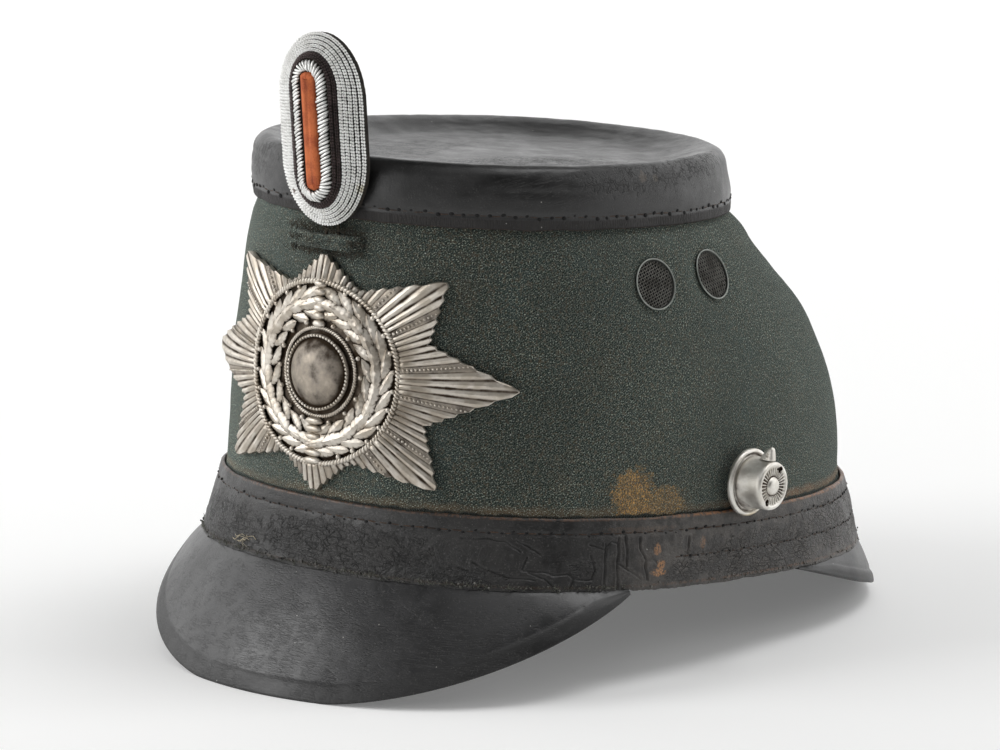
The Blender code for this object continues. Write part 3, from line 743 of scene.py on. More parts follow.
def scratchMask(skin, scratches):  # bundles of thin straight scratches inside ragged spots
    masks = []
    for u, v, reachU, reachV, strength, angle in scratches:
        lines = addNode(treeOf([skin]), "ShaderNodeTexNoise",
                        dict(Vector=mapped(skin, (9 * mm, 0.8 * mm), angle, "TEXTURE"), Scale=1.0,
                             Detail=1.0), "Fac")
        lines = ramp(calc("ABSOLUTE", lines - 0.56), 0.0, 0.022, 1.0, 0.0)
        masks.append(lines * spotMask(skin, ((u, v, reachU, reachV, strength),)))
    return strongest(masks)


def makeLeatherFinish(label, look):
    material, tree, shader = newFinish(label,
                                       {"IOR": 1.5, "Coat Roughness": look["coatRough"], "Coat IOR": 1.45})
    skin, place = skinAndPlace(tree)
    along, level = split(skin)["X"], split(skin)["Y"]
    laid = mapped(skin, look["stretch"]) if "stretch" in look else place
    wide = useGroup(crackleGroup, Vector=laid, Cell=look["cell"], Warp=1.5, Width=look["width"])
    fine = useGroup(crackleGroup, Vector=laid, Cell=look["fineCell"], Warp=1.1, Width=0.18)
    area = spotMask(skin, look["crackSpots"])
    grain = blur(place, look["grain"], 3.0, 0.65)
    broad = blur(place, 0.010, 4.0, 0.6)
    patchy = ramp(blur(place, 0.004, 3.0, 0.6), 0.38, 0.60)
    cracks = wide * area * ramp(patchy, 0.0, 1.0, 0.25, 1.0)
    finer = fine * mulAdd(area, 0.55, ramp(patchy, 0.0, 1.0, 0.0, 0.22))
    # this mask darkens the colour along the band's creases and over the peak's hem as painted shade; the
    # extra roughness and thinner coat it gives are real wear
    shadeAndWearMask = addNode(tree, "ShaderNodeAttribute", out="Fac", attribute_name="paintedShadeAndWear")
    scratch = scratchMask(skin, look["scratches"])
    colour = tint(ramp(broad, 0.38, 0.72), look["base"], look["pale"])
    if "rear" in look:  # drier and browner towards the back, and also paler there as painted light standing in for fill light on that side
        start, end, brown = look["rear"]
        colour = tint(ramp(along, start, end) * ramp(patchy, 0.0, 1.0, 0.25, 0.8), colour, brown)
    below = 0.0
    if "strip" in look:  # the turned edge below the stitches is browner, with fine upright creases
        top, brown = look["strip"]
        below = ramp(level, top, top - 0.0006)
        colour = tint(below * 0.6, colour, brown)
        upright = useGroup(crackleGroup, Vector=mapped(skin, (1.9, 0.22)), Cell=1.5 * mm, Warp=0.9,
                           Width=0.10)
        cracks = calc("MAXIMUM", cracks, upright * below * 0.6)
    # the creases and the hem take their painted shade here, together with the darker cracks
    dark = calc("MAXIMUM", calc("MAXIMUM", cracks * 0.85, shadeAndWearMask * 0.55), finer * look["finer"])
    colour = tint(dark, colour, (0.0035, 0.0033, 0.0030))
    rowGrain = ramp(blur(place, 0.0012, 4.0, 0.7), 0.40, 0.60)
    for middle, reach, strength in look.get("wornRows", ()):
        away = calc("ABSOLUTE", level - middle)
        mask = ramp(away, reach, reach * 0.3) * rowGrain * ramp(along, *look["wornAlong"], 0.30, 1.0)
        colour = tint(mask * strength, colour, look["tan"])
    colour = tint(scratch * 0.30, colour, (0.075, 0.072, 0.068))
    height = mulAdd(grain, 0.30, cracks * -1.0)
    if "lumps" in look:
        height = mulAdd(blur(laid, 1.1 * mm, 2.0, 0.6) * mulAdd(area, 1.0, 0.25), look["lumps"] * 2, height)
    height = height - finer * 0.50 - scratch * 0.55
    rough = ramp(broad, 0.3, 0.7, *look["rough"])
    rough = mulAdd(calc("MAXIMUM", finer, scratch), 0.15, rough)
    rough = mulAdd(calc("MAXIMUM", dark, below), 0.22, rough)
    shine = mulAdd(calc("MAXIMUM", dark, below), -look["coat"], look["coat"])
    if "scuffs" in look:
        scuff = spotMask(skin, look["scuffs"])
        colour = tint(scuff * 0.7, colour, (0.15, 0.13, 0.11))
        rough = mulAdd(scuff, 0.25, rough)
    if "rings" in look:  # curved creases round one point
        u, v, reach, pitch = look["rings"]
        away = vectorCalc("DISTANCE", skin, (u, v, 0.0))["Value"]
        wobble = mulAdd(blur(skin, 0.005), 0.004, away)
        wave = ramp(calc("SINE", wobble * (tau / pitch)), 0.70, 0.95)
        height = height - wave * ramp(away, reach, reach * 0.6, 0.0, 0.6)
    if "rust" in look:
        crumbs = ramp(blur(place, 0.55 * mm, 3.0, 0.7), 0.40, 0.55)
        colour = tint(spotMask(skin, look["rust"]) * crumbs, colour, (0.36, 0.18, 0.075))
    grit = ramp(blur(place, 0.62 * mm, 3.0, 0.8), 0.56, 0.70, 0.0, look["grit"])
    colour = tint(grit * ramp(patchy, 0.0, 1.0, 0.45, 1.0), colour, (0.17, 0.165, 0.155))
    lint = addNode(tree, "ShaderNodeTexVoronoi", dict(Vector=place, Scale=150.0), "Distance")
    colour = tint(ramp(lint, 0.034, 0.022), colour, (0.30, 0.29, 0.27))
    feed(shader, {"Base Color": colour, "Roughness": rough, "Coat Weight": shine})
    setRelief(tree, shader, height, look["depth"])
    return material


metals = dict(
    # bright and shaded colour, tarnish, where it starts and ends, roughness, size and depth of the grain
    plateNickelSilver=((0.68, 0.635, 0.57), (0.45, 0.40, 0.335), (0.060, 0.042, 0.028), 0.08, 0.52,
                       (0.34, 0.50), 0.45, 0.06),
    knobNickelSilver=((0.89, 0.87, 0.82), (0.69, 0.66, 0.60), (0.070, 0.038, 0.022), 0.08, 0.36, (0.36, 0.52),
                      0.5, 0.06),
    ventMetal=((0.38, 0.40, 0.37), (0.22, 0.235, 0.215), (0.03, 0.03, 0.028), 0.0, 0.5, (0.42, 0.6), 0.3,
               0.02),
    prongWire=((0.62, 0.61, 0.58), (0.40, 0.39, 0.36), (0.12, 0.10, 0.08), 0.0, 0.4, (0.28, 0.45), 0.4, 0.01),
    gauzeWire=((0.22, 0.215, 0.195), (0.085, 0.08, 0.07), (0.020, 0.018, 0.016), 0.0, 0.5, (0.45, 0.65), 0.3,
               0.01),
)


def makeMetalFinish(label, metallic=1.0, brassBelow=None):
    bright, shaded, tarnish, low, high, roughness, size, depth = metals[label]
    material, tree, shader = newFinish(label, dict(Metallic=metallic))
    place = addNode(tree, "ShaderNodeTexCoord", out="Object")
    relief = addNode(tree, "ShaderNodeAttribute", out="Fac", attribute_name="relief")
    dirt = useGroup(tarnishGroup, Vector=place, Relief=relief, Low=low, High=high)
    colour = tint(ramp(dirt["Cloud"], 0.38, 0.62), shaded, bright)
    if brassBelow:  # the plating has worn through at the bottom
        colour = tint(ramp(split(place)["Z"], brassBelow, brassBelow - 0.0016, 0.0, 0.75), colour,
                      (0.62, 0.47, 0.20))
    grain = blur(place, size * mm, 4.0, 0.65)
    rough = mulAdd(dirt, 0.3, mulAdd(grain, 0.1, ramp(dirt["Cloud"], 0.3, 0.7, *roughness)))
    feed(shader, {"Base Color": tint(dirt, colour, tarnish), "Roughness": rough})
    setRelief(tree, shader, grain, depth * mm)
    return material


threads = dict(
    # light and dark colour, size of the fibres in mm, metallic, roughness
    silverCord=((0.96, 0.96, 0.945), (0.78, 0.775, 0.75), 0.3, 0.0, 0.42),
    silverBullion=((0.90, 0.90, 0.88), (0.54, 0.53, 0.51), 0.3, 0.55, 0.36),
    brownCord=((0.070, 0.046, 0.043), (0.012, 0.007, 0.007), 0.3, 0.0, 0.36),
    sewingThread=((0.060, 0.036, 0.024), (0.014, 0.009, 0.007), 0.5, 0.0, 0.85),
    # a near-black finish for the stitch holes: painted shade
    stitchHoles=((0.0035, 0.003, 0.003), (0.002, 0.002, 0.002), 0.5, 0.0, 0.85),
    # a near-black finish for the disc inside each vent: painted shade
    ventShade=((0.0035, 0.003, 0.003), (0.002, 0.002, 0.002), 0.5, 0.0, 0.85),
    orangeFelt=((0.56, 0.150, 0.050), (0.33, 0.070, 0.025), 0.35, 0.0, 0.95),
    blackFelt=((0.030, 0.024, 0.018), (0.006, 0.005, 0.004), 0.4, 0.0, 0.95),
    greyFibres=((0.13, 0.135, 0.105), (0.025, 0.027, 0.022), 1.0, 0.0, 0.85),
    pocketFibres=((0.050, 0.042, 0.026), (0.010, 0.010, 0.007), 1.0, 0.0, 0.85),
    edgeCrumbs=((0.16, 0.155, 0.14), (0.008, 0.007, 0.006), 0.5, 0.0, 0.85),
    creamFibres=((0.62, 0.55, 0.40), (0.30, 0.24, 0.15), 1.0, 0.0, 0.85),
)


def makeThreadFinish(label, stains=()):
    light, deep, size, metallic, rough = threads[label]
    material, tree, shader = newFinish(label, dict(Metallic=metallic, Roughness=rough))
    place = addNode(tree, "ShaderNodeTexCoord", out="Object")
    fibre = blur(place, size * mm, 3.0, 0.7)
    colour = tint(ramp(mulAdd(blur(place, 0.004, 3.0), 0.5, fibre * 0.5), 0.36, 0.60), deep, light)
    for spot, reach, stain in stains:
        away = vectorCalc("DISTANCE", place, tuple(hatPlace @ Vector(spot)))["Value"]
        colour = tint(ramp(mulAdd(fibre, reach, away), reach * 1.4, reach * 0.8), colour, stain)
    feed(shader, {"Base Color": colour})
    setRelief(tree, shader, fibre, size * mm * 0.25, 0.8)
    return material


clothFinish = makeClothFinish("greenWool", cloth)
crownFinish = makeLeatherFinish("crownLeather", crownLook)
bandFinish = makeLeatherFinish("bandLeather", bandLook)
peakFinish = makeLeatherFinish("peakLeather", peakLook)
plateFinish = makeMetalFinish("plateNickelSilver")
ventFinish = makeMetalFinish("ventMetal", 0.6)
gauzeFinish = makeMetalFinish("gauzeWire", 0.6)
wireFinish = makeMetalFinish("prongWire")
sewingFinish = makeThreadFinish("sewingThread")
holeShadeFinish = makeThreadFinish("stitchHoles")
print("finishes ready")


def cutMesh(mesh, cutterMesh, smoothAngle):  # the mesh with the cutter's space taken out
    made = newObject("uncut", mesh), newObject("cutter", cutterMesh)
    cut = made[0].modifiers.new("cut", "BOOLEAN")
    cut.operation, cut.solver, cut.object = "DIFFERENCE", "EXACT", made[1]
    result = bakedMesh(made[0])
    for holder in made:
        bpy.data.objects.remove(holder)
    result.set_sharp_from_angle(angle=radians(smoothAngle))
    return result


def rodMesh(radius, low, high, sides, place):
    return turnedMesh(((0.0, low), (radius, low), (radius, high), (0.0, high)), sides, place)


# Body

body = dict(
    shoulder=dict(level=0.0982, reach=4.5 * mm, bulge=1.0 * mm),  # it bulges under the crown, behind
    columns=240, rows=92, innerRows=24,
    top=0.109, ripple=0.25 * mm, rippleSize=13 * mm, fineRipple=0.07 * mm, fineSize=4 * mm,
    ventSpots=(
        # name, degrees round the oval from the front, height
        ("fore", 78.5, 0.0864), ("aft", 95.1, 0.0876),
    ),
    ventHole=7.1 * mm, ventDip=0.55 * mm, ventDipReach=12.5 * mm,
)


def ventPlace(side, bearing, height):  # local Z points out of the cloth
    spot, outward = clothPoint(side * radians(bearing), height)
    return Matrix.Translation(spot) @ outward.to_track_quat("Z", "Y").to_matrix().to_4x4()


sides = ((1, "left"), (-1, "right"))
vents = {
    (sideName, spotName): ventPlace(side, bearing, height)
    for side, sideName in sides for spotName, bearing, height in body["ventSpots"]
}


def makeBody():
    columns, shoulder = body["columns"], body["shoulder"]
    angles = [-pi + tau * k / columns for k in range(columns + 1)]
    outerLevels = [body["top"] * k / body["rows"] for k in range(body["rows"] + 1)]
    innerLevels = [body["top"] * (1 - k / body["innerRows"]) for k in range(body["innerRows"] + 1)]
    ventSpots = [place.translation for place in vents.values()]
    rows = []
    for level in outerLevels:
        row = []
        for angle in angles[:-1]:
            point, outward = clothPoint(angle, level)
            push = body["ripple"] * noise.noise(point / body["rippleSize"])
            push += body["fineRipple"] * noise.noise(point / body["fineSize"])
            behind = smoothStep(abs(degrees(angle)), 103, 125) * (1 - smoothStep(level, 0.1002, 0.1024))
            push += shoulder["bulge"] * bell(level - shoulder["level"], shoulder["reach"]) * behind
            near = min((point - spot).length for spot in ventSpots)
            push -= body["ventDip"] * (1 - smoothStep(near, body["ventHole"] + 0.5 * mm,
                                                      body["ventDipReach"]))
            row.append(point + outward * push)
        rows.append(row)
    for level in innerLevels:
        inside = grownSection(bodySection(level), -hat["clothWall"])
        rows.append(ovalRow(inside, angles[:-1], level))
    levels = outerLevels + innerLevels

    def uvAt(r, c):
        level = levels[r % len(levels)]
        return lengthTo(angles[c], level), level

    shell = tidyNormals(skinMesh("body", rows, uvAt))
    holes = [rodMesh(body["ventHole"], -6 * mm, 6 * mm, 48, hatPlace @ place) for place in vents.values()]
    cut = cutMesh(shell, joinMeshes(holes), 50)
    addPiece("bodyCloth", cut, clothFinish, "cloth", "shako_body")


makeBody()
print("body ready")


# Crown

crown = dict(
    columns=288, pitch=0.55 * mm, roundness=2.15, deckRings=16,
    outside=(
        # height, front, back, half width: the side, the crest, then down into the dish
        (0.1024, -0.1028, 0.0484, 0.0648),
        (0.1040, -0.1032, 0.0483, 0.0650),
        (0.1058, -0.1036, 0.0481, 0.0653),
        (0.1095, -0.1040, 0.0480, 0.0655),
        (0.1130, -0.1040, 0.0477, 0.0654),
        (0.1168, -0.1035, 0.0471, 0.0649),
        (0.1190, -0.1024, 0.0460, 0.0638),
        (0.1202, -0.1008, 0.0444, 0.0622),
        (0.1205, -0.0988, 0.0424, 0.0602),
        (0.1196, -0.0955, 0.0391, 0.0569),
        (0.1179, -0.0912, 0.0348, 0.0526),
        (0.1164, -0.0865, 0.0301, 0.0479),
        (0.1158, -0.0820, 0.0256, 0.0434),
    ),
    inside=(
        (0.1138, -0.0815, 0.0251, 0.0429),
        (0.1150, -0.0870, 0.0306, 0.0484),
        (0.1184, -0.0955, 0.0391, 0.0569),
        (0.1130, -0.1026, 0.0463, 0.0640),
        (0.1058, -0.1025, 0.0469, 0.0641),
        (0.1024, -0.1016, 0.0472, 0.0636),
    ),
    taper=0.022,  # how far it narrows to the crest, at the back and the sides
    edgeWander=0.35 * mm, edgeRound=0.35 * mm, seamLevel=0.1060, seamDepth=0.30 * mm,
    seamHalfWidth=0.9 * mm,
    dents=(
        # how deep, size of the lumps
        (0.20 * mm, 18 * mm), (0.10 * mm, 6 * mm), (0.07 * mm, 2.2 * mm),
    ),
    wrinkles=(
        # bearing, height, half length round, half height, depth: dents placed one by one in the side and
        # crest
        (66, 0.1180, 0.016, 0.0016, 0.35 * mm), (58, 0.1130, 0.020, 0.0010, 0.20 * mm),
        (-40, 0.1150, 0.014, 0.0009, 0.25 * mm), (-38, 0.1112, 0.012, 0.0008, 0.22 * mm),
        (-42, 0.1080, 0.014, 0.0008, 0.18 * mm), (20, 0.1185, 0.018, 0.0012, 0.20 * mm),
    ),
)


def crownRing(row, angles, scale=1.0):
    height, front, back, halfWidth = row
    middle = (front + back) / 2
    ring = []
    for angle in angles:
        spot = ovalPoint((front, back, halfWidth, crown["roundness"]), angle)
        behind = smoothStep(abs(degrees(angle)), 62, 120)
        share = scale * (1 - crown["taper"] * behind * smoothStep(height, 0.1040, 0.1165))
        ring.append(Vector((spot.x * share, middle + (spot.y - middle) * share, height)))
    return ring


def makeCrown():
    angles = [-pi + tau * k / crown["columns"] for k in range(crown["columns"])]
    outside = smoothPath(crown["outside"], crown["pitch"])
    rows = [crownRing(crown["inside"][0], angles, share) for share in (0.0, 0.5)]
    rows += [crownRing(row, angles) for row in crown["inside"]]
    firstOutside = len(rows)
    low = crown["outside"][0]
    edge = (low[0] - crown["edgeRound"], low[1] + 0.45 * mm, low[2] - 0.45 * mm, low[3] - 0.45 * mm)
    rows.append(crownRing(edge, angles))
    rows += [crownRing(row, angles) for row in outside]
    for k in range(1, crown["deckRings"] + 1):
        rows.append(crownRing(outside[-1], angles, (1 - k / crown["deckRings"]) ** 0.9))
    for r in range(firstOutside - 1, firstOutside + 4):  # the cut edge isn't quite level
        for c, angle in enumerate(angles):
            wander = noise.noise(Vector((cos(angle), sin(angle), 0.0)) * 9.0)
            rows[r][c].z += crown["edgeWander"] * wander * (1 - max(0, r - firstOutside) / 4)
    bearings = [degrees(angle) for angle in angles]

    def amount(r, c, point):
        if r <= firstOutside:
            return 0.0
        total = sum(depth * noise.noise(point / size) for depth, size in crown["dents"])
        if r - firstOutside < len(outside) * 0.55:
            total -= crown["seamDepth"] * bell(point.z - crown["seamLevel"], crown["seamHalfWidth"])
            total *= smoothStep(point.z, 0.1015, 0.1045) * 0.75 + 0.25
            for bearing, height, reach, halfHeight, depth in crown["wrinkles"]:
                up = point.z - height + 0.8 * mm * noise.noise(point / (5 * mm))
                total -= depth * bell(bearings[c] - bearing, degrees(reach / 0.075)) * bell(up, halfHeight)
        return total

    seamRow = min(range(firstOutside, firstOutside + 30),
                  key=lambda r: abs(rows[r][0].z - crown["seamLevel"]))
    rows = roughen(rows, amount)
    for row in (rows[0], rows[-1]):
        row[:] = [sum(row, Vector()) / len(row)] * len(row)
    lengths = [0.0]
    for r in range(1, len(rows)):
        lengths.append(lengths[-1] + (rows[r][0] - rows[r - 1][0]).length)
    around = sum((a - b).length for a, b in zip(rows[firstOutside + 8], rows[firstOutside + 8][1:]))

    def uvAt(r, c):
        return around * (c / crown["columns"] - 0.5), lengths[r] - lengths[firstOutside]

    mesh = skinMesh("crown", rows, uvAt, loop=False)
    addPiece("crownLeather", tidyNormals(mesh, merge=1e-7), crownFinish, "crown_leather", "crown_top")
    return rows[seamRow]


crownSeam = makeCrown()
print("crown ready")


# Base band

band = dict(
    outside=(
        # height, front, back, half width, roundness
        (-0.0008, -0.1046, 0.1068, 0.0868, 2.35),
        (0.0000, -0.1045, 0.1067, 0.0867, 2.35),
        (0.0100, -0.1031, 0.1046, 0.0859, 2.25),
        (0.0198, -0.1020, 0.1020, 0.0848, 2.15),
    ),
    low=-0.0008, high=0.0198, pitch=0.27 * mm, finePitch=0.27 * mm, widePitch=1.6 * mm,
    radius=0.097, fineFrom=28, fineTo=79, topRound=0.5 * mm, overhang=0.45 * mm, edgeWander=0.35 * mm,
    seamLevel=0.0154, seamDepth=0.28 * mm, seamHalfWidth=0.8 * mm,
    dents=((0.28 * mm, 14 * mm), (0.18 * mm, 5 * mm), (0.09 * mm, 1.7 * mm)),
    crackDepth=0.46 * mm, crackHalfWidth=0.26 * mm, crackLip=0.12 * mm, puff=0.10 * mm,
    folds=dict(depth=0.22 * mm, along=7 * mm, up=1.3 * mm),
    rearSeam={"level": 0.0079, "from": 72.4, "fade": (0.1140, 0.1165)}, foot=0.0008,
)
# The large creases on the wearer's left of the front, along the band and up it, in millimetres.
bandCracks = (
    ((48, 13.5), (57, 13.5), (61, 12.5), (64.5, 10.5)), ((63, 13.5), (67, 12), (70.5, 9.5)),
    ((66.5, 9), (65, 5)),
    ((44, 5.5), (50, 4.5)), ((51, 7), (55.5, 5), (61, 3), (69, 2.5)),
    ((65, 5), (71, 5), (74, 4), (79, 4.5), (80.5, 3), (86, 2.5)),
    ((67, 4.5), (72, 3), (75.5, 0)), ((86, 2.5), (86.5, 5.5), (85, 9.5)), ((80.5, 3), (79.5, 0)),
    ((84.5, 12.5), (89.5, 11)),
    ((89.5, 13), (89.5, 8), (90, -0.5)), ((90, 12), (91, 13), (93, 12.5)),
    ((93.5, 14), (93.5, 7), (94.5, -0.5)),
    ((95.5, 14.5), (97, 6)), ((93.5, 7), (98, 5), (101.5, 2.5)),
    ((100.5, 14), (101, 11), (103, 7.5), (103, 5.5), (104.5, 2)),
    ((103, 7.5), (105.5, 7.5), (107, 6.5)), ((118, 13.5), (118.5, 8.5)),
)


def makeBand():
    low, high, overhang = band["low"], band["high"], band["overhang"]
    angles, angle = [], -pi
    while angle < pi - 0.004:
        angles.append(angle)
        fine = band["fineFrom"] <= degrees(angle) <= band["fineTo"]
        angle += (band["finePitch"] if fine else band["widePitch"]) / band["radius"]
    angles.append(pi)
    count = round((high - low) / band["pitch"])
    # over the top edge, then down the outside
    steps = [(high - 0.4 * mm, 1.10 * mm), (high - 0.05 * mm, 0.75 * mm)]
    for k in range(count, -1, -1):
        level = low + (high - low) * k / count
        steps.append((level, 0.35 * mm * (1 - smoothStep(high - level, 0.0, band["topRound"]))))
    steps += [(low - 0.12 * mm, 0.22 * mm), (low, overhang), (0.0, overhang), (0.0, 1.30 * mm),
              (0.010, 1.25 * mm)]
    levels = [level for level, _ in steps]
    rows = []
    for level, inset in steps:
        section = grownSection(smoothRow(band["outside"], max(level, low)), -inset)
        rows.append(ovalRow(section, angles[:-1], level))
    lengths = [lengthTo(angle, 0.010) for angle in angles]
    outerCount, rear, folds = count + 3, band["rearSeam"], band["folds"]
    paintedShadeAndWear = [0.0] * (len(rows) * (len(angles) - 1))

    def amount(r, c, point):
        if r >= outerCount + 1:
            return 0.0
        total = sum(depth * noise.noise(point / size) for depth, size in band["dents"])
        along, level = lengths[c], levels[r]
        for seam, share in ((band["seamLevel"], 1.0), (rear["level"], smoothStep(abs(along), *rear["fade"]))):
            total -= band["seamDepth"] * bell(level - seam, band["seamHalfWidth"]) * share
        stray = noise.noise_vector(point / (6 * mm)) * 0.5
        fold = noise.noise(Vector((along / folds["along"], level / folds["up"], 0.0)) + stray)
        fold *= (1 - 0.7 * smoothStep(level, 0.004, 0.008)) * (1 - 0.8 * smoothStep(along, 0.062, 0.080))
        total += folds["depth"] * fold
        if band["fineFrom"] - 5 < degrees(angles[c]) < band["fineTo"] + 5:
            shift = noise.noise_vector(point / (3.5 * mm)) * 0.45 * mm  # the lines wander and fade
            gap = crackDistance(along + shift.x, level + shift.y)
            if gap < 3 * mm:
                fold = bell(gap, band["crackHalfWidth"]) * clamp(0.75 + 0.9 * noise.noise(point / (4.5 * mm)))
                total += band["crackLip"] * bell(gap - 0.65 * mm, 0.35 * mm) - band["crackDepth"] * fold
                total -= band["puff"] * bell(gap, 1.3 * mm)
                # how deep the crease is here, which the finish paints darker as shade in the crease
                paintedShadeAndWear[r * (len(angles) - 1) + c] = fold
        return total

    rows = roughen(rows, lambda r, c, point: -amount(r, c, point))
    for r in range(outerCount - 2, outerCount + 2):  # the lower cut edge wanders
        for c, angle in enumerate(angles[:-1]):
            spot = Vector((cos(angle), sin(angle), 3.0))
            rows[r][c].z += band["edgeWander"] * (noise.noise(spot * 14.0) + 0.6 * noise.noise(spot * 65.0))

    def uvAt(r, c):
        return lengths[c], levels[r % len(levels)]

    mesh = skinMesh("band", rows, uvAt)
    mesh.attributes.new("paintedShadeAndWear", "FLOAT", "POINT").data.foreach_set("value", paintedShadeAndWear)
    addPiece("bandLeather", tidyNormals(mesh), bandFinish, "band_leather", "base_band")
    near = [min(range(2, outerCount + 1), key=lambda r: abs(levels[r] - level))
            for level in (band["seamLevel"], rear["level"], band["foot"])]
    return [rows[r] for r in near], [degrees(angle) for angle in angles[:-1]]


def crackDistance(along, level):
    nearest = 1.0
    for line in bandCracks:
        for (x0, y0), (x1, y1) in zip(line, line[1:]):
            dx, dy = (x1 - x0) * mm, (y1 - y0) * mm
            px, py = along - x0 * mm, level - y0 * mm
            t = clamp((px * dx + py * dy) / (dx * dx + dy * dy))
            nearest = min(nearest, hypot(px - t * dx, py - t * dy))
    return nearest


(bandSeam, rearSeam, bandFoot), bandBearings = makeBand()
print("band ready")


# Peaks

peaks = dict(
    # middle: bearing of the centre; reach: half the spread; out: how far the rim stands out;
    # fade, blunt: how the rim runs in to the corners; level: share of the rim on the ground;
    # climb: how steeply the rest rises; bulge: crown of the slope; hem: width of the edge roll
    peakFront=dict(node="peak_front", middle=0.0, reach=64.8, out=22 * mm, fade=1.35, blunt=0.72,
                  level=0.16, climb=1.36, bulge=1.4 * mm, hem=6.5 * mm, 
                  hemCrown=0.14 * mm, groove=0.04 * mm),
    peakRear=dict(node="peak_rear", middle=180.0, reach=85.0, out=8 * mm, fade=2.2, blunt=0.80,
                 level=0.30, climb=1.60, bulge=0.6 * mm, hem=4.2 * mm, 
                 hemCrown=0.28 * mm, groove=0.20 * mm),
)
peakShape = dict(wall=2.0 * mm, setBack=0.5 * mm, tail=0.97, hemAtLeast=0.35, hemLift=0.12 * mm,
             hemStep=1.6 * mm, rows=40, hemRows=16, rimRound=0.7 * mm, innerRows=14,
             columns=260, dents=((0.30 * mm, 17 * mm), (0.08 * mm, 6 * mm)))


def peakSlice(spec, share, shape=peakShape):  # outer face down, round the rim, inner face up, with depths
    spread = abs(share)
    lean = hat["leanBack"]
    angle = radians(spec["middle"] + share * spec["reach"])
    oval = grownSection(smoothRow(band["outside"], 0.0), -shape["setBack"])
    rootSpot, outward = ovalPoint(oval, angle), ovalOutward(oval, angle)
    root = Vector((rootSpot.x, rootSpot.y, -0.3 * mm))
    corner = ovalPoint(oval, radians(spec["middle"] + spec["reach"]))
    cornerHeight = hat["bandLift"] * cos(lean) - corner.y * sin(lean)
    rise = max(0.0, (spread - spec["level"]) / (1 - spec["level"])) ** spec["climb"]
    stand = spec["out"] * (1 - spread ** spec["fade"]) ** spec["blunt"]
    rimSpot, rimHeight = rootSpot + outward * stand, cornerHeight * rise
    rim = aboveGround(rimSpot.x, rimSpot.y, rimHeight)
    fall = root.z - rim.z
    slope = hypot(stand, fall)
    off = Vector((outward.x * fall, outward.y * fall, stand)) / slope
    hem = max(shape["hemAtLeast"], 1 - spec["hem"] / slope)
    calm = 1 - spread**2

    def down(part, raised=0.0):
        return root.lerp(rim, part) + off * (4 * spec["bulge"] * calm * part * (1 - part) + raised)

    points, depths = [], []
    for k in range(shape["rows"]):
        part = hem * k / shape["rows"]
        depth = part * slope
        fromHem = hem * slope - depth
        raised = -spec["groove"] * bell(fromHem - 0.25 * mm, 0.8 * mm)
        points.append(down(part, raised * calm ** 0.5))
        depths.append(depth)
    hemWidth = (1 - hem) * slope
    lastPart = 1 - min(shape["rimRound"], hemWidth * 0.3) / slope
    for k in range(shape["hemRows"] + 1):
        part = hem + (lastPart - hem) * k / shape["hemRows"]
        x = (part - hem) * slope
        lift = shape["hemLift"] * smoothStep(x, 0.0, shape["hemStep"])
        lift *= 1 - 0.6 * smoothStep(x, hemWidth * 0.5, hemWidth)
        raised = (lift + spec["hemCrown"] * sin(pi * clamp(x / hemWidth)) ** 0.8) * calm ** 0.5
        raised -= spec["groove"] * bell(x + 0.25 * mm, 0.8 * mm) * calm ** 0.5
        points.append(down(part, raised))
        depths.append(part * slope)
    footSpot = rimSpot - outward * (shape["wall"] * slope / fall)
    flatSpot = rimSpot - outward * (0.45 * mm)
    flat = aboveGround(flatSpot.x, flatSpot.y, rimHeight)
    start = points[-1]
    for k in range(1, 6):
        t = k / 5
        points.append(start * (1 - t) ** 2 + rim * (2 * t * (1 - t)) + flat * t * t)
        depths.append(slope + 0.2 * mm * k)
    foot = aboveGround(footSpot.x, footSpot.y, rimHeight)
    points.append(flat.lerp(foot, 0.8))
    depths.append(slope + 2 * mm)
    innerRoot = Vector((rootSpot.x - outward.x * shape["wall"], rootSpot.y - outward.y * shape["wall"],
                        root.z))
    for k in range(shape["innerRows"] + 1):
        part = 1 - k / shape["innerRows"]
        bulged = off * (4 * spec["bulge"] * calm * part * (1 - part))
        points.append(innerRoot.lerp(foot, part) + bulged)
        depths.append(slope + 2 * mm + (1 - part) * slope)
    return points, depths


def makePeak(name, spec):
    columns = peakShape["columns"]
    shares = [peakShape["tail"] * (2 * k / columns - 1) for k in range(columns + 1)]
    slices = [peakSlice(spec, share) for share in shares]
    outerCount = peakShape["rows"] + peakShape["hemRows"] // 2
    rows = [points for points, _ in slices]
    lengths = [0.0]
    for here, there in zip(rows, rows[1:]):
        lengths.append(lengths[-1] + (here[outerCount // 2] - there[outerCount // 2]).length)
    middle = lengths[-1] / 2
    depths = [depth for _, depth in slices]
    rimRow = peakShape["rows"] + peakShape["hemRows"] - 2

    def amount(r, c, point):  # here a row is one slice
        fade = smoothStep(c, 0, 6) * (1 - smoothStep(c, rimRow - 6, rimRow))
        return fade * sum(depth * noise.noise(point / size) for depth, size in peakShape["dents"])

    rows = roughen(rows, amount, wrap=False)
    count = len(rows[0])

    def uvAt(r, c):
        return lengths[r] - middle, depths[r][min(c, count - 1)]

    mesh = skinMesh(name, rows, uvAt, wrap=True, loop=False)
    # the hem is painted darker as a shadow, and made rougher and less glossy as real wear
    hemShadeAndWear = [0.9 * smoothStep(c, peakShape["rows"] - 1,
                               peakShape["rows"] + 3) for _ in rows for c in range(count)]
    mesh.attributes.new("paintedShadeAndWear", "FLOAT", "POINT").data.foreach_set("value", hemShadeAndWear)
    closeEnds(mesh, count, len(rows))
    addPiece(name, tidyNormals(mesh, 55), peakFinish, "peak_leather", spec["node"])


for peakName, peakSpec in peaks.items():
    makePeak(peakName, peakSpec)
print("peaks ready")


# Plate on the front

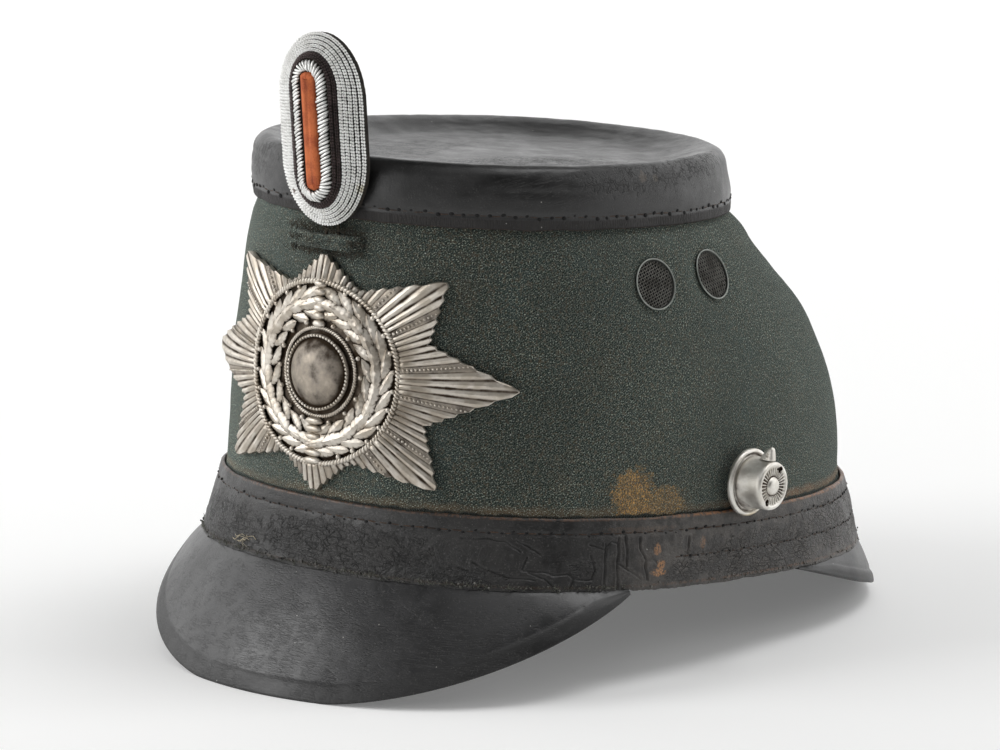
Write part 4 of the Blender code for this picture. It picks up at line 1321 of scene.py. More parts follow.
plate = dict(
    height=0.0565, gap=0.6 * mm, spring=1.6 * mm, thick=1.2 * mm,
    tips=(
        # degrees from straight up, radius
        (0.0, 0.0355), (52.0, 0.0500), (90.0, 0.0620), (128.0, 0.0500), (180.0, 0.0355),
    ),
    notch=0.66, hub=27.0 * mm, raysPerFlank=6, rayRows=16,
    ridge=0.62 * mm, rise=1.25 * mm, serration=1.1 * mm, edge=0.45,
    pearlEvery=4, pearl=0.95 * mm, pearlPitch=1.25 * mm,
    hubRing=26.6 * mm, hubBead=1.45 * mm, innerRing=12.9 * mm, innerBead=1.05 * mm,
)


def starOutline(bearing):  # straight edges from each tip to the notch beside it
    bearing = min(bearing % 360, 360 - bearing % 360)
    upper = next(k for k in range(1, len(plate["tips"])) if bearing <= plate["tips"][k][0] + 1e-6)
    (start, first), (end, second) = plate["tips"][upper - 1], plate["tips"][upper]
    halfGap = radians(end - start) / 2
    notchRadius = plate["notch"] * (first + second) / 2
    if bearing < (start + end) / 2:
        tip, fromTip = Vector((0.0, first)), radians(bearing - start)
    else:
        tip, fromTip = Vector((0.0, second)), radians(end - bearing)
    notch = Vector((sin(halfGap), cos(halfGap))) * notchRadius
    edge = notch - tip
    ray = Vector((sin(fromTip), cos(fromTip)))
    return (tip.x * edge.y - tip.y * edge.x) / (ray.x * edge.y - ray.y * edge.x)


def platePoint(radius, bearing, out):  # polar coordinates about the plate's middle
    across, up = radius * sin(radians(bearing)), radius * cos(radians(bearing))
    far = min(1.0, abs(across) / plate["tips"][2][1])
    return frontPoint(across, plate["height"] + up, plate["gap"] + plate["spring"] * far**3 + out)


def markRelief(mesh, values):
    mesh.attributes.new("relief", "FLOAT", "POINT").data.foreach_set("value", values)
    return mesh


def starColumns():  # (bearing, how far from the nearest tip, height on its ray, is it a pearl ray)
    marks = [row[0] for row in plate["tips"]]
    half = [marks[0]]
    for low, high in zip(marks, marks[1:]):
        half += [(low + high) / 2, high]
    full = half + [360 - mark for mark in reversed(half[:-1])]
    columns = []
    for flank, (low, high) in enumerate(zip(full, full[1:])):
        count = plate["raysPerFlank"]
        for ray in range(count):
            fromTip = ray if flank % 2 == 0 else count - 1 - ray
            pearls = fromTip % plate["pearlEvery"] == 2
            for part, shape in ((0.04, 0.0), (0.27, 0.5), (0.5, 1.0), (0.73, 0.5), (0.96, 0.0)):
                share = (ray + part) / count
                columns.append((low + (high - low) * share, (share if flank % 2 == 0 else 1 - share), shape,
                                pearls))
    return columns


def makeStar():
    columns = starColumns()
    hub, rows, relief = plate["hub"], [], []
    edges = []
    for bearing, _, shape, _ in columns:
        cut = starOutline(bearing) - plate["serration"] * (1 - shape)
        edges.append(max(cut, hub + 1.2 * mm))

    def addRow(radiusAt, outAt, reliefAt):
        rows.append([platePoint(radiusAt(c), columns[c][0], outAt(c))[0] for c in range(len(columns))])
        relief.extend(reliefAt(c) for c in range(len(columns)))

    def face(c, share):
        _, away, shape, pearls = columns[c]
        fade = 1 - (1 - plate["edge"]) * share
        ridge = plate["ridge"] * shape * smoothStep(share, 0.0, 0.06)
        if pearls:
            ridge = plate["ridge"] * 0.25 * (1 - shape)
        return plate["thick"] * (1 - 0.3 * share) + (plate["rise"] * (1 - away * 0.85) + ridge
                                                     + 0.35 * mm) * fade

    addRow(lambda c: 0.0, lambda c: 0.0, lambda c: 0.0)
    for share in (0.0, 0.5, 1.0):
        addRow(lambda c: hub + (edges[c] - hub) * share, lambda c: 0.0, lambda c: 0.0)
    addRow(lambda c: edges[c] + 0.15 * mm, lambda c: 0.35 * mm, lambda c: 0.6)
    addRow(lambda c: edges[c], lambda c: face(c, 1.0) - 0.15 * mm, lambda c: 1.0)
    for k in range(plate["rayRows"], -1, -1):
        share = k / plate["rayRows"]
        inside = min(share, 0.985)
        addRow(lambda c: hub + (edges[c] - hub) * inside, lambda c: face(c, inside),
               lambda c: 0.16 + 0.74 * columns[c][2] if not columns[c][3] else 0.30)
    addRow(lambda c: hub - 0.3 * mm, lambda c: plate["thick"] + 0.2 * mm, lambda c: 0.05)
    fieldRadii = (26.2, 25.4, 24, 22, 20, 18, 16, 14.4, 13.4, 12.2, 10, 7)
    for radius in fieldRadii:
        addRow(lambda c: radius * mm, lambda c: plate["thick"] - 0.05 * mm, lambda c: 0.14)
    addRow(lambda c: 0.0, lambda c: plate["thick"], lambda c: 0.2)
    mesh = markRelief(skinMesh("star", rows, loop=False), relief)
    addPiece("starPlate", tidyNormals(mesh, 32, 1e-7), plateFinish, "plate_silver", "badge_star")


def ringStrand(radius, out, steps=96):
    return strand([platePoint(radius, 360 * k / steps, out) for k in range(steps)], closed=True)


def makePearls():
    strands = []
    for bearing, away, shape, pearls in starColumns():
        if not pearls or shape < 0.9:
            continue
        edge = starOutline(bearing)
        fade = [1 - (1 - plate["edge"]) * k / 12 for k in range(13)]
        radii = [plate["hub"] + 1.3 * mm + (edge - plate["hub"] - 2.6 * mm) * k / 12 for k in range(13)]
        if radii[-1] - radii[0] < 2 * mm:
            continue
        spots = []
        for k, radius in enumerate(radii):
            swell = (plate["rise"] * (1 - away * 0.85) + 0.35 * mm) * fade[k]
            level = plate["thick"] * (1 - 0.3 * k / 12) + swell
            spots.append(platePoint(radius, bearing, level + 0.10 * mm))
        narrower = [1.0 - 0.32 * k / 12 for k in range(13)]
        strands.append(strand(spots, wide=narrower, long=narrower))
    size = plate["pearl"]
    pearls = setAlong(strands, beadUnit(8, 6, size, size, size * 1.1), plateFinish, plate["pearlPitch"],
                      sizeSpread=0.06)
    ropes = []
    for radius, bead, lift in ((plate["hubRing"], plate["hubBead"], 1.1 * mm),
                               (plate["innerRing"], plate["innerBead"], 0.45 * mm)):
        grain = beadUnit(8, 6, bead * 1.5, bead * 0.80, bead)
        ropes.append(setAlong([ringStrand(radius, plate["thick"] + lift)], grain, plateFinish, bead * 0.80,
                              turn=(0.0, 0.0, radians(52)), sizeSpread=0.04))
    mesh = joinMeshes([pearls, *ropes])
    markRelief(mesh, [0.85] * len(mesh.vertices))
    addPiece("starPearls", mesh, plateFinish, "plate_silver")


wreath = dict(
    leaf=dict(length=9.2 * mm, width=4.1 * mm, dome=0.95 * mm, rib=0.22 * mm, veins=5, thick=0.35 * mm),
    rows=(
        # radius, height over the plate, lean in degrees, size, pitch
        (17.0 * mm, 0.50 * mm, 24, 0.86, 4.9 * mm),
        (22.9 * mm, 0.50 * mm, -24, 0.98, 5.1 * mm),
        (20.0 * mm, 1.20 * mm, 0, 1.0, 5.0 * mm),
    ),
    berry=1.5 * mm,
    tie=dict(width=6.4 * mm, lift=1.3 * mm),
)


def leafUnit(spec):  # points along X, its face along Z
    along, across = 16, 8
    rows = []
    values = []
    for k in range(along + 1):
        t = k / along
        half = spec["width"] / 2 * max(0.0, sin(pi * t**0.85)) ** 0.8 * (1 + 0.07 * sin(t * 34))
        top, bottom = [], []
        for j in range(across + 1):
            v = 2 * j / across - 1
            vein = cos(tau * (spec["veins"] * t - 0.55 * abs(v)))
            lift = spec["dome"] * (1 - v * v) * sin(pi * t**0.7) ** 0.6
            lift += spec["rib"] * exp(-(v / 0.16) ** 2) + 0.10 * mm * vein * (1 - abs(v))
            curl = 0.5 * mm * (t - 0.45) ** 2 * 4
            place = Vector(((t - 0.5) * spec["length"], v * half, lift + curl))
            top.append(place)
            bottom.append(Vector((place.x, place.y, curl - spec["thick"] + 0.25 * mm)))
            values.append(clamp(0.15 + 0.75 * (1 - v * v) + 0.2 * vein))
        values += [0.1] * (across - 1)
        rows.append(top + list(reversed(bottom[1:-1])))
    mesh = skinMesh("leaf", rows, loop=False, place=Matrix.Identity(4))
    markRelief(mesh, values)
    return tidyNormals(mesh, 50, 1e-7)


def branchStrand(side, radius, lift, lean, low=172, high=9):
    bearings = [low + (high - low) * k / 40 for k in range(41)]
    spots = [platePoint(radius, bearing * side, plate["thick"] + lift) for bearing in bearings]
    return strand(spots, lean=radians(lean * side))


def makeWreath():
    leaf = leafUnit(wreath["leaf"])
    meshes = []
    for number, (radius, lift, lean, size, pitch) in enumerate(wreath["rows"]):
        strands = [branchStrand(side, radius, lift, lean) for side in (1, -1)]
        meshes.append(setAlong(strands, leaf.copy(), plateFinish, pitch, size=(size, size, size),
                               sizeSpread=0.06,
                               turnSpread=(0.06, 0.10, 0.13), seed=number + 3))
    leaves = joinMeshes(meshes)
    leaves.set_sharp_from_angle(angle=radians(50))
    addPiece("wreathLeaves", leaves, plateFinish, "plate_silver", "badge_wreath")
    berries = []
    for number, radius in enumerate((14.9 * mm, 25.2 * mm)):
        strands = [branchStrand(side, radius, 0.9 * mm, 0, 160, 20) for side in (1, -1)]
        grain = beadUnit(10, 8, wreath["berry"], wreath["berry"], wreath["berry"])
        berries.append(setAlong(strands, grain, plateFinish, 5.3 * mm, sizeSpread=0.12, seed=number + 9,
                                shiftSpread=(0.3 * mm, 0.2 * mm, 0.1 * mm)))
    tie = wreath["tie"]
    for bearing, width in ((180, tie["width"]), (0, tie["width"] * 0.7)):
        out = plate["thick"] + tie["lift"]
        spots = [platePoint(radius * mm, bearing, out) for radius in (14.2, 17, 20, 23, 25.8)]
        wrap = beadUnit(10, 8, 2.3 * mm, width, 2.6 * mm)
        berries.append(setAlong([strand(spots)], wrap, plateFinish, 2.3 * mm))
    trim = joinMeshes(berries)
    markRelief(trim, [0.7] * len(trim.vertices))
    addPiece("wreathTrim", trim, plateFinish, "plate_silver")


boss = dict(
    radius=11.2 * mm, sides=72,
    profile=(
        # share of the radius, height, relief
        (0.0, 0.0, 0.0), (0.96, 0.0, 0.0), (1.0, 0.12, 0.3), (1.0, 0.24, 0.8), (0.975, 0.31, 1.0),
        (0.94, 0.31, 0.9),
        (0.915, 0.24, 0.2), (0.895, 0.20, 0.0), (0.875, 0.24, 0.1), (0.85, 0.34, 0.5), (0.80, 0.46, 0.7),
        (0.74, 0.56, 0.8), (0.66, 0.67, 0.8), (0.56, 0.78, 0.85), (0.46, 0.87, 0.9), (0.34, 0.94, 0.9),
        (0.22, 0.98, 0.9), (0.10, 1.0, 0.9), (0.0, 1.0, 0.9),
    ),
    dome=4.0 * mm, beadPitch=1.15 * mm, bead=1.0 * mm, shine=0.32,
)


def makeBoss():
    floor = plate["thick"] + 0.3 * mm
    rows, relief, sides = [], [], boss["sides"]
    for radius, height, value in boss["profile"]:
        out = floor + boss["dome"] * height
        rows.append([platePoint(boss["radius"] * radius, 360 * k / sides, out)[0] for k in range(sides)])
        relief += [value * boss["shine"]] * sides
    dome = markRelief(skinMesh("boss", rows, loop=False), relief)
    addPiece("boss", tidyNormals(dome, 40, 1e-7), plateFinish, "plate_silver", "badge_boss")
    size = boss["bead"]
    beads = setAlong([ringStrand(boss["radius"] * 0.955, floor + boss["dome"] * 0.32)],
                     beadUnit(8, 6, size, size, size),
                     plateFinish, boss["beadPitch"])
    markRelief(beads, [0.85] * len(beads.vertices))
    addPiece("bossBeads", beads, plateFinish, "plate_silver")


makeStar()
makePearls()
makeWreath()
makeBoss()
print("plate ready")


# Cockade

cockade = dict(
    foot=Vector((0.0021, -0.1036, 0.0995)), lean=radians(4.0), slant=radians(3.0), swing=radians(1.8),
    halfHeight=28.25 * mm, board=1.2 * mm,
    # outer and inner: half width, half height, half length of the straight side; heights over the board
    cords=dict(outer=(0.0158, 0.0280, 0.0082), inner=(0.0088, 0.0226, 0.0112),
              heights=(0.0006, 0.0026, 0.0038), rows=5, pitch=0.94 * mm, fill=0.84),
    dark=dict(outer=(0.0088, 0.0226, 0.0112), inner=(0.0066, 0.0209, 0.0125),
             heights=(0.0038, 0.0049, 0.0054), rows=2, pitch=0.86 * mm, wide=1.05),
    bullion=dict(outer=(0.0066, 0.0209, 0.0125), inner=(0.0031, 0.0174, 0.0145),
                heights=(0.0054, 0.0064, 0.0067), pitch=1.06 * mm, slant=27, rod=0.70 * mm, long=3.9 * mm),
    felt=dict(
        outer=(0.0027, 0.0172, 0.0150), top=7.2 * mm,
        layers=((0.0, 4.6), (0.0, 3.0), (0.0, 1.6), (0.10, 1.0), (0.35, 0.5), (0.8, 0.2), (1.5, 0.05),
                (2.2, 0.0)),
    ),
    # in the third row, where a cord's end is let in: row, place across, half length
    notch=(2, 0.0035, 2.2 * mm),
    bed=0.75 * mm, columns=200,
)
cockadeMiddle = Matrix.Translation((0.0, 0.0, cockade["halfHeight"]))
cockadePlace = (Matrix.Translation(cockade["foot"])
                @ Euler((cockade["lean"], -cockade["slant"], 0.0)).to_matrix().to_4x4()
                @ cockadeMiddle @ Matrix.Rotation(-cockade["swing"], 4, "Y") @ cockadeMiddle.inverted())


# an oval with straight sides, in the cockade's own frame
def cockadeLoop(size, out, count=cockade["columns"]):
    halfWidth, halfHeight, straight = size
    loop = []
    for k in range(count):
        angle = tau * (k + 0.5) / count
        z = (halfHeight - straight) * cos(angle) + copysign(straight, cos(angle))
        loop.append(Vector((halfWidth * sin(angle), -out, z + cockade["halfHeight"])))
    return loop


def ringHeight(spec, share):
    low, middle, high = spec["heights"]
    rest = 1 - share
    return low * rest * (1 - 2 * share) + middle * 4 * share * rest + high * share * (2 * share - 1)


def cordStrand(spec, share, lift=0.0, pitch=0.4 * mm):  # once round the face at this share of a ring's width
    size = between(spec["outer"], spec["inner"], share)
    loop = cockadeLoop(size, cockade["board"] + ringHeight(spec, share) + lift, 120)
    loop = [Vector(point) for point in evenSteps([*loop, loop[0]], pitch, closed=True)]
    low, high = max(share - 0.02, 0.0), min(share + 0.02, 1.0)
    across = spec["outer"][0] - spec["inner"][0]
    steep = (ringHeight(spec, high) - ringHeight(spec, low)) / (across * (high - low))
    ahead = Vector((0.0, -1.0, 0.0))
    spots = []
    for k, point in enumerate(loop):
        along = (loop[(k + 1) % len(loop)] - loop[k - 1]).normalized()
        outward = (ahead + ahead.cross(along) * steep).normalized()
        spots.append((cockadePlace @ point, (cockadePlace.to_3x3() @ outward).normalized()))
    return strand(spots, closed=True)


# a cord's width at each point: the rings are narrower over the ends than at the sides
def rowWidths(spec, one):
    sideWidth, topWidth = ((spec["outer"][k] - spec["inner"][k]) / spec["rows"] for k in (0, 1))
    widths = []
    for point in one["points"]:
        level = (cockadePlace.inverted() @ point).z - cockade["halfHeight"]
        flat = sideWidth + (topWidth - sideWidth) * smoothStep(abs(level), 0.008, 0.024)
        rise = abs(spec["heights"][2] - spec["heights"][0]) / spec["rows"]
        widths.append(hypot(flat, rise))
    return widths


def twinGrain(length, width, depth, sides=6, rings=5):  # two rounded grains side by side, one a little ahead
    halves = []
    for side in (1, -1):
        grain = beadUnit(sides, rings, length, width * 0.52, depth)
        grain.transform(Matrix.Translation((side * length * 0.10, side * width * 0.245, 0.0)))
        halves.append(grain)
    return joinMeshes(halves)


def makeCockade():
    cords = cockade["cords"]
    rows = []
    for number in range(cords["rows"]):
        one = cordStrand(cords, (number + 0.5) / cords["rows"], lift=-0.05 * mm)
        one["wide"] = [width / mm * cords["fill"] for width in rowWidths(cords, one)]
        if number == cockade["notch"][0]:  # the bottom of this row has a short gap
            _, across, reach = cockade["notch"]
            for k, point in enumerate(one["points"]):
                local = cockadePlace.inverted() @ point
                if local.z < cockade["halfHeight"] - 0.015 and abs(local.x + across) < reach / 2:
                    one["wide"][k] *= 0.35
        rows.append(one)
    grain = twinGrain(cords["pitch"] * 0.93, 1.0 * mm, 1.2 * mm, 8, 6)
    silver = setAlong(rows, grain, silverCordFinish, cords["pitch"], sizeSpread=0.05,
                      turnSpread=(0.06, 0.06, 0.10), shiftSpread=(0.04 * mm, 0.04 * mm, 0.06 * mm), seed=4)
    addPiece("cockadeCords", silver, silverCordFinish, "silver_cord", "cockade_cord_ring")

    dark = cockade["dark"]
    strands = [cordStrand(dark, (number + 0.5) / dark["rows"]) for number in range(dark["rows"])]
    for one in strands:
        one["wide"] = dark["wide"]
    grain = twinGrain(dark["pitch"] * 0.95, 1.0 * mm, 1.1 * mm)
    darkCords = setAlong(strands, grain, brownCordFinish, dark["pitch"], sizeSpread=0.07,
                         turn=(0.0, 0.0, radians(12)),
                         turnSpread=(0.1, 0.1, 0.15), seed=5)
    addPiece("cockadeDarkCords", darkCords, brownCordFinish, "brown_cord", "cockade_dark_ring")

    bullion = cockade["bullion"]
    middle = cordStrand(bullion, 0.5, lift=0.05 * mm)
    rod = threadUnit(bullion["long"], bullion["rod"] / 2, 8, 0.5 * mm)
    rods = setAlong([middle], rod, bullionFinish, bullion["pitch"], sizeSpread=0.06,
                    turn=(0.0, 0.0, radians(90 + bullion["slant"])), turnSpread=(0.05, 0.08, 0.09),
                    shiftSpread=(0.18 * mm, 0.06 * mm, 0.10 * mm), seed=6)
    addPiece("cockadeBullion", rods, bullionFinish, "bullion", "cockade_bullion_ring")

    felt = cockade["felt"]
    top = cockade["board"] + felt["top"]
    halfWidth, halfHeight, straight = felt["outer"]
    loops = []
    for inset, below in felt["layers"]:
        size = (halfWidth - inset * mm, halfHeight - inset * mm, straight)
        loops.append(cockadeLoop(size, top - below * mm))
    loops.append([Vector((0.0, -top, point.z)) for point in loops[-1]])

    def raggedness(r, c, point):
        amount = 0.28 * mm * noise.noise(point / (0.9 * mm)) + 0.20 * mm * noise.noise(point / (0.3 * mm))
        holes = 0.45 * mm * max(0.0, noise.noise(point / (1.3 * mm) + Vector((5, 5, 5))))
        return amount - (holes if r < 5 else 0.0)

    loops = roughen(loops, lambda r, c, point: -raggedness(r, c, point))
    centre = skinMesh("felt", loops, loop=False, place=hatPlace @ cockadePlace)
    addPiece("cockadeFelt", tidyNormals(centre), orangeFeltFinish, "orange_cloth", "cockade_centre")

    full, bed = cords["outer"], cockade["bed"]
    loops = [cockadeLoop((full[0] + grow * mm, full[1] + grow * mm, full[2]), level * mm)
             for grow, level in ((-2.0, 0.0), (-0.6, 0.0), (-0.25, 0.2), (-0.2, 0.5), (-0.4, 0.8))]
    for spec in (cords, cockade["dark"], cockade["bullion"]):
        for share in (0.06, 0.3, 0.6, 0.95):
            loops.append(cockadeLoop(between(spec["outer"], spec["inner"], share),
                                     cockade["board"] + ringHeight(spec, share) - bed))
    loops.append(cockadeLoop((0.0006, 0.0155, 0.0150),
                             cockade["board"] + cockade["bullion"]["heights"][2] - bed))
    loops = roughen(loops, lambda r, c, point: 0.10 * mm * noise.noise(point / (0.7 * mm)))
    back = skinMesh("board", loops, loop=False, place=hatPlace @ cockadePlace)
    closeEnds(back, cockade["columns"], len(loops))
    addPiece("cockadeBack", tidyNormals(back, 50), boardFinish, "board_felt", "cockade_board")


silverCordFinish = makeThreadFinish("silverCord", (
    # place in the hat's frame, reach, colour: a rust stain low on the left, a yellowed patch low on the right
    ((-0.0085, -0.1085, 0.1085), 1.3 * mm, (0.10, 0.045, 0.025)),
    ((0.0150, -0.1060, 0.1120), 2.6 * mm, (0.50, 0.45, 0.30)),
))
brownCordFinish = makeThreadFinish("brownCord")
bullionFinish = makeThreadFinish("silverBullion")
orangeFeltFinish = makeThreadFinish("orangeFelt")
boardFinish = makeThreadFinish("blackFelt")
makeCockade()


def sweptWire(points, radius, sides=8):  # a round wire along points in the hat's frame
    points = [Vector(point) for point in points]
    count = len(points)
    rows = []
    for k, point in enumerate(points):
        along = (points[min(k + 1, count - 1)] - points[max(k - 1, 0)]).normalized()
        first = along.cross(Vector((0.0, 1.0, 0.05))).normalized()
        second = along.cross(first)
        rows.append([
            point + (first * cos(tau * j / sides) + second * sin(tau * j / sides)) * radius
            for j in range(sides)
        ])
    return tidyNormals(closeEnds(skinMesh("wire", rows, loop=False), sides, count))


prong = dict(radius=0.5 * mm, spread=2.2 * mm, head=1.1 * mm, foot=0.6 * mm)
pocket = dict(halfWidth=12.5 * mm, low=0.0926, high=0.0968, stand=2.4 * mm, wall=1.0 * mm, columns=72)


def makeProng():
    x0, depth = cockade["foot"].x, cockade["foot"].y + 0.3 * mm + prong["radius"]
    top, low = cockade["foot"].z + prong["head"], pocket["low"] + prong["foot"]
    half = [(0.0, top), (prong["spread"] * 0.75, top - 0.1 * mm), (prong["spread"], top - 1.2 * mm),
            (prong["spread"], low)]
    route = [(-x, z) for x, z in reversed(half[1:])] + half
    path = smoothPath([(x0 + x, depth, z) for x, z in route], 0.35 * mm)
    addPiece("prong", sweptWire(path, prong["radius"]), wireFinish, "wire_metal", "cockade_prong")
    loose = [(x0 + 0.3 * mm, depth, top), (x0 + 0.9 * mm, depth - 0.5 * mm, low + 4 * mm),
             (x0 + 0.5 * mm, depth, low)]
    addPiece("looseWire", sweptWire(smoothPath(loose, 0.35 * mm), 0.24 * mm, 6), wireFinish, "wire_metal")


def makePocket():
    columns, rows = pocket["columns"], []
    # up the back, over the top edge, down the front: height and how far through the wall
    profile = [(k / 6, 0.0) for k in range(7)] + [(1.04, 0.25), (1.06, 0.5), (1.04, 0.8)]
    profile += [(k / 10, 1.0) for k in range(10, -1, -1)] + [(-0.04, 0.75), (-0.05, 0.4), (-0.03, 0.15)]
    for k in range(columns + 1):
        share = 2 * k / columns - 1
        across = pocket["halfWidth"] * share
        stand = 0.3 * mm + (pocket["stand"] - 0.3 * mm) * (1 - share**4)
        row = []
        for up, through in profile:
            level = pocket["low"] + (pocket["high"] - pocket["low"]) * up
            level += 0.35 * mm * noise.noise(Vector((across * 260, up * 0.6, 2.0)))
            edge = 1 - 0.75 * smoothStep(abs(share), 0.93, 1.0)
            ripple = 0.25 * mm * noise.noise(Vector((across * 300, up * 2, through)))
            row.append(frontPoint(across, level, stand + pocket["wall"] * through * edge + ripple)[0])
        rows.append(row)

    def uvAt(r, c):
        up, through = profile[c % len(profile)]
        level = 0.06 + up * (pocket["high"] - pocket["low"]) + through * 1e-4
        return pocket["halfWidth"] * (2 * r / columns - 1), level

    mesh = skinMesh("pocket", rows, uvAt, loop=False)
    closeEnds(mesh, len(profile), len(rows))
    addPiece("pocket", tidyNormals(mesh, 60), pocketFinish, "cloth", "cockade_pocket")


pocketFinish = makeClothFinish("pocketWool", {
    **cloth, "dustTop": 0.0, "rust": (0.045, 0.026, 0.014), "rustDeep": (0.012, 0.008, 0.005),
    "rustSpots": ((0.0, 0.0650, 0.014, 0.0013, 1.0), (-0.006, 0.0605, 0.007, 0.0012, 0.8)),
})
makeProng()
makePocket()
print("cockade ready")


# Vents

vent = dict(
    ring=(
        # radius, height above the cloth, in millimetres
        (6.4, -2.2), (7.0, -2.2), (7.0, -0.7), (7.30, -0.65), (7.60, -0.45), (7.66, -0.10), (7.60, 0.14),
        (7.44, 0.24),
        (7.27, 0.16), (7.18, -0.05), (7.02, -0.35), (6.7, -0.85), (6.42, -1.2),
    ),
    gauze=dict(radius=6.95 * mm, pitch=0.84 * mm, wire=0.115 * mm, dome=0.35 * mm, depth=-0.55 * mm,
              turns=dict(fore=20, aft=52)),
)


def buildGauzeTree():
    tree, given = newTree("wovenGauze", "Geometry", dict(
        Holder="Geometry", Radius="Float", Pitch="Float", Wire="Float", Dome="Float", Finish="Material",
    ), dict(Gauze="Geometry"))
    radius, pitch = given["Radius"], given["Pitch"]
    line = addNode(tree, "GeometryNodeCurvePrimitiveLine",
                   dict(Start=combine(tree, X=radius * -1.0), End=combine(tree, X=radius)))
    line = addNode(tree, "GeometryNodeResampleCurve", dict(Curve=line, Length=pitch / 4.0), mode="LENGTH")
    half = calc("FLOOR", radius / pitch)
    spots = addNode(tree, "GeometryNodeMeshLine", {
        "Count": half * 2.0 + 1.0, "Start Location": combine(tree, Y=half * (pitch * -1.0)),
        "Offset": combine(tree, Y=pitch),
    }, mode="OFFSET")
    wires = addNode(tree, "GeometryNodeInstanceOnPoints", dict(Points=spots, Instance=line))
    wires = addNode(tree, "GeometryNodeRealizeInstances", dict(Geometry=wires))
    place = addNode(tree, "ShaderNodeSeparateXYZ", dict(Vector=addNode(tree, "GeometryNodeInputPosition")))
    x, y = place["X"], place["Y"]
    wave = calc("SINE", (x + y) / pitch * pi) * given["Wire"]
    reach = calc("SQRT", x * x + y * y)
    share = reach / radius
    dome = (1.0 - share * share) * given["Dome"]
    cut = addNode(tree, "GeometryNodeDeleteGeometry",
                  dict(Geometry=wires, Selection=calc("GREATER_THAN", reach, radius)),
                  domain="POINT")
    joined = tree.nodes.new("GeometryNodeJoinGeometry")
    for across, along, way in ((x, y, 1.0), (y, x, -1.0)):
        spot = combine(tree, X=across, Y=along, Z=wave * way + dome)
        feed(joined, {0: addNode(tree, "GeometryNodeSetPosition", dict(Geometry=cut, Position=spot))})
    profile = addNode(tree, "GeometryNodeCurvePrimitiveCircle", dict(Resolution=5, Radius=given["Wire"]),
                      mode="RADIUS")
    solid = {"Curve": Wire(joined.outputs[0]), "Profile Curve": profile, "Fill Caps": True}
    return dressTree(tree, addNode(tree, "GeometryNodeCurveToMesh", solid), given["Finish"])


gauzeTree = buildGauzeTree()


def makeVents():
    gauze = vent["gauze"]
    profile = [(radius * mm, height * mm) for radius, height in vent["ring"]]
    for (sideName, spotName), spot in vents.items():
        place, label = hatPlace @ spot, f"{sideName}_{spotName}"
        hoop = skinMesh("hoop", [circle(radius, height, 72) for radius, height in profile], place=place)
        markRelief(hoop, [0.8 if height > 0 else 0.1 for _, height in profile for _ in range(72)])
        addPiece(f"ventRing_{label}", tidyNormals(hoop), ventFinish, "vent_metal", f"vent_ring_{label}")
        turn = Matrix.Rotation(radians(gauze["turns"][spotName]), 4, "Z")
        net = bakeNodes(gauzeTree, bpy.data.meshes.new("empty"), dict(
            Radius=gauze["radius"], Pitch=gauze["pitch"], Wire=gauze["wire"], Dome=gauze["dome"],
            Finish=gauzeFinish,
        ), place @ Matrix.Translation((0.0, 0.0, gauze["depth"])) @ turn)
        net.shade_smooth()
        markRelief(net, [0.5] * len(net.vertices))
        addPiece(f"ventGauze_{label}", net, gauzeFinish, "gauze_metal", f"vent_gauze_{label}")
        shadeDisc = rodMesh(6.6 * mm, -2.1 * mm, -1.7 * mm, 32, place)  # a near-black disc behind the wires: painted shade for the inside of the vent hole
        addPiece(f"ventLining_{label}", shadeDisc, ventShadeFinish, "board_felt")


ventShadeFinish = makeThreadFinish("ventShade")
makeVents()
print("vents ready")


# Side knobs

knob = dict(
    seat=(85.1, -7.8, 27.8),
    flange=(
        # radius, height, relief
        (0.0, -1.7, 0.0), (4.5, -1.7, 0.0), (4.5, 0.0, 0.0), (9.2, 0.0, 0.1), (9.8, 0.35, 0.5),
        (10.05, 0.9, 0.9),
        (10.0, 1.5, 1.0), (9.75, 1.95, 1.0), (9.4, 2.15, 1.0), (9.05, 2.10, 0.8), (8.8, 1.80, 0.35),
        (8.6, 1.45, 0.15), (8.2, 1.30, 0.2), (7.8, 1.45, 0.3), (7.5, 1.75, 0.3), (6.0, 1.85, 0.2),
        (0.0, 1.85, 0.2),
    ),
    drum=(
        (0.0, 1.9, 0.2), (7.9, 1.9, 0.2), (8.0, 2.2, 0.25), (7.8, 2.8, 0.3), (7.55, 4.0, 0.35),
        (7.35, 5.6, 0.4),
        (7.25, 7.2, 0.6), (7.22, 8.6, 0.9), (7.15, 9.4, 1.0), (6.95, 9.85, 1.0), (6.6, 10.12, 1.0),
        (6.2, 10.18, 1.0),
        (5.9, 10.1, 0.9), (5.75, 9.95, 0.8),
    ),
    grooves=dict(count=31, outer=5.7, inner=2.9, low=9.4, high=10.0, rows=10),
    centre=((2.75, 9.55, 0.1), (2.55, 9.9, 0.5), (2.35, 10.25, 0.9), (1.8, 10.55, 1.0), (0.9, 10.7, 1.0),
            (0.0, 10.75, 1.0)),
    sides=248, pinHoles=dict(radius=0.95, out=5.45, turn=31, deep=7.5),
    hook=dict(length=4.0, width=2.9, height=3.8, start=5.2, root=7.45, hole=0.62),
)


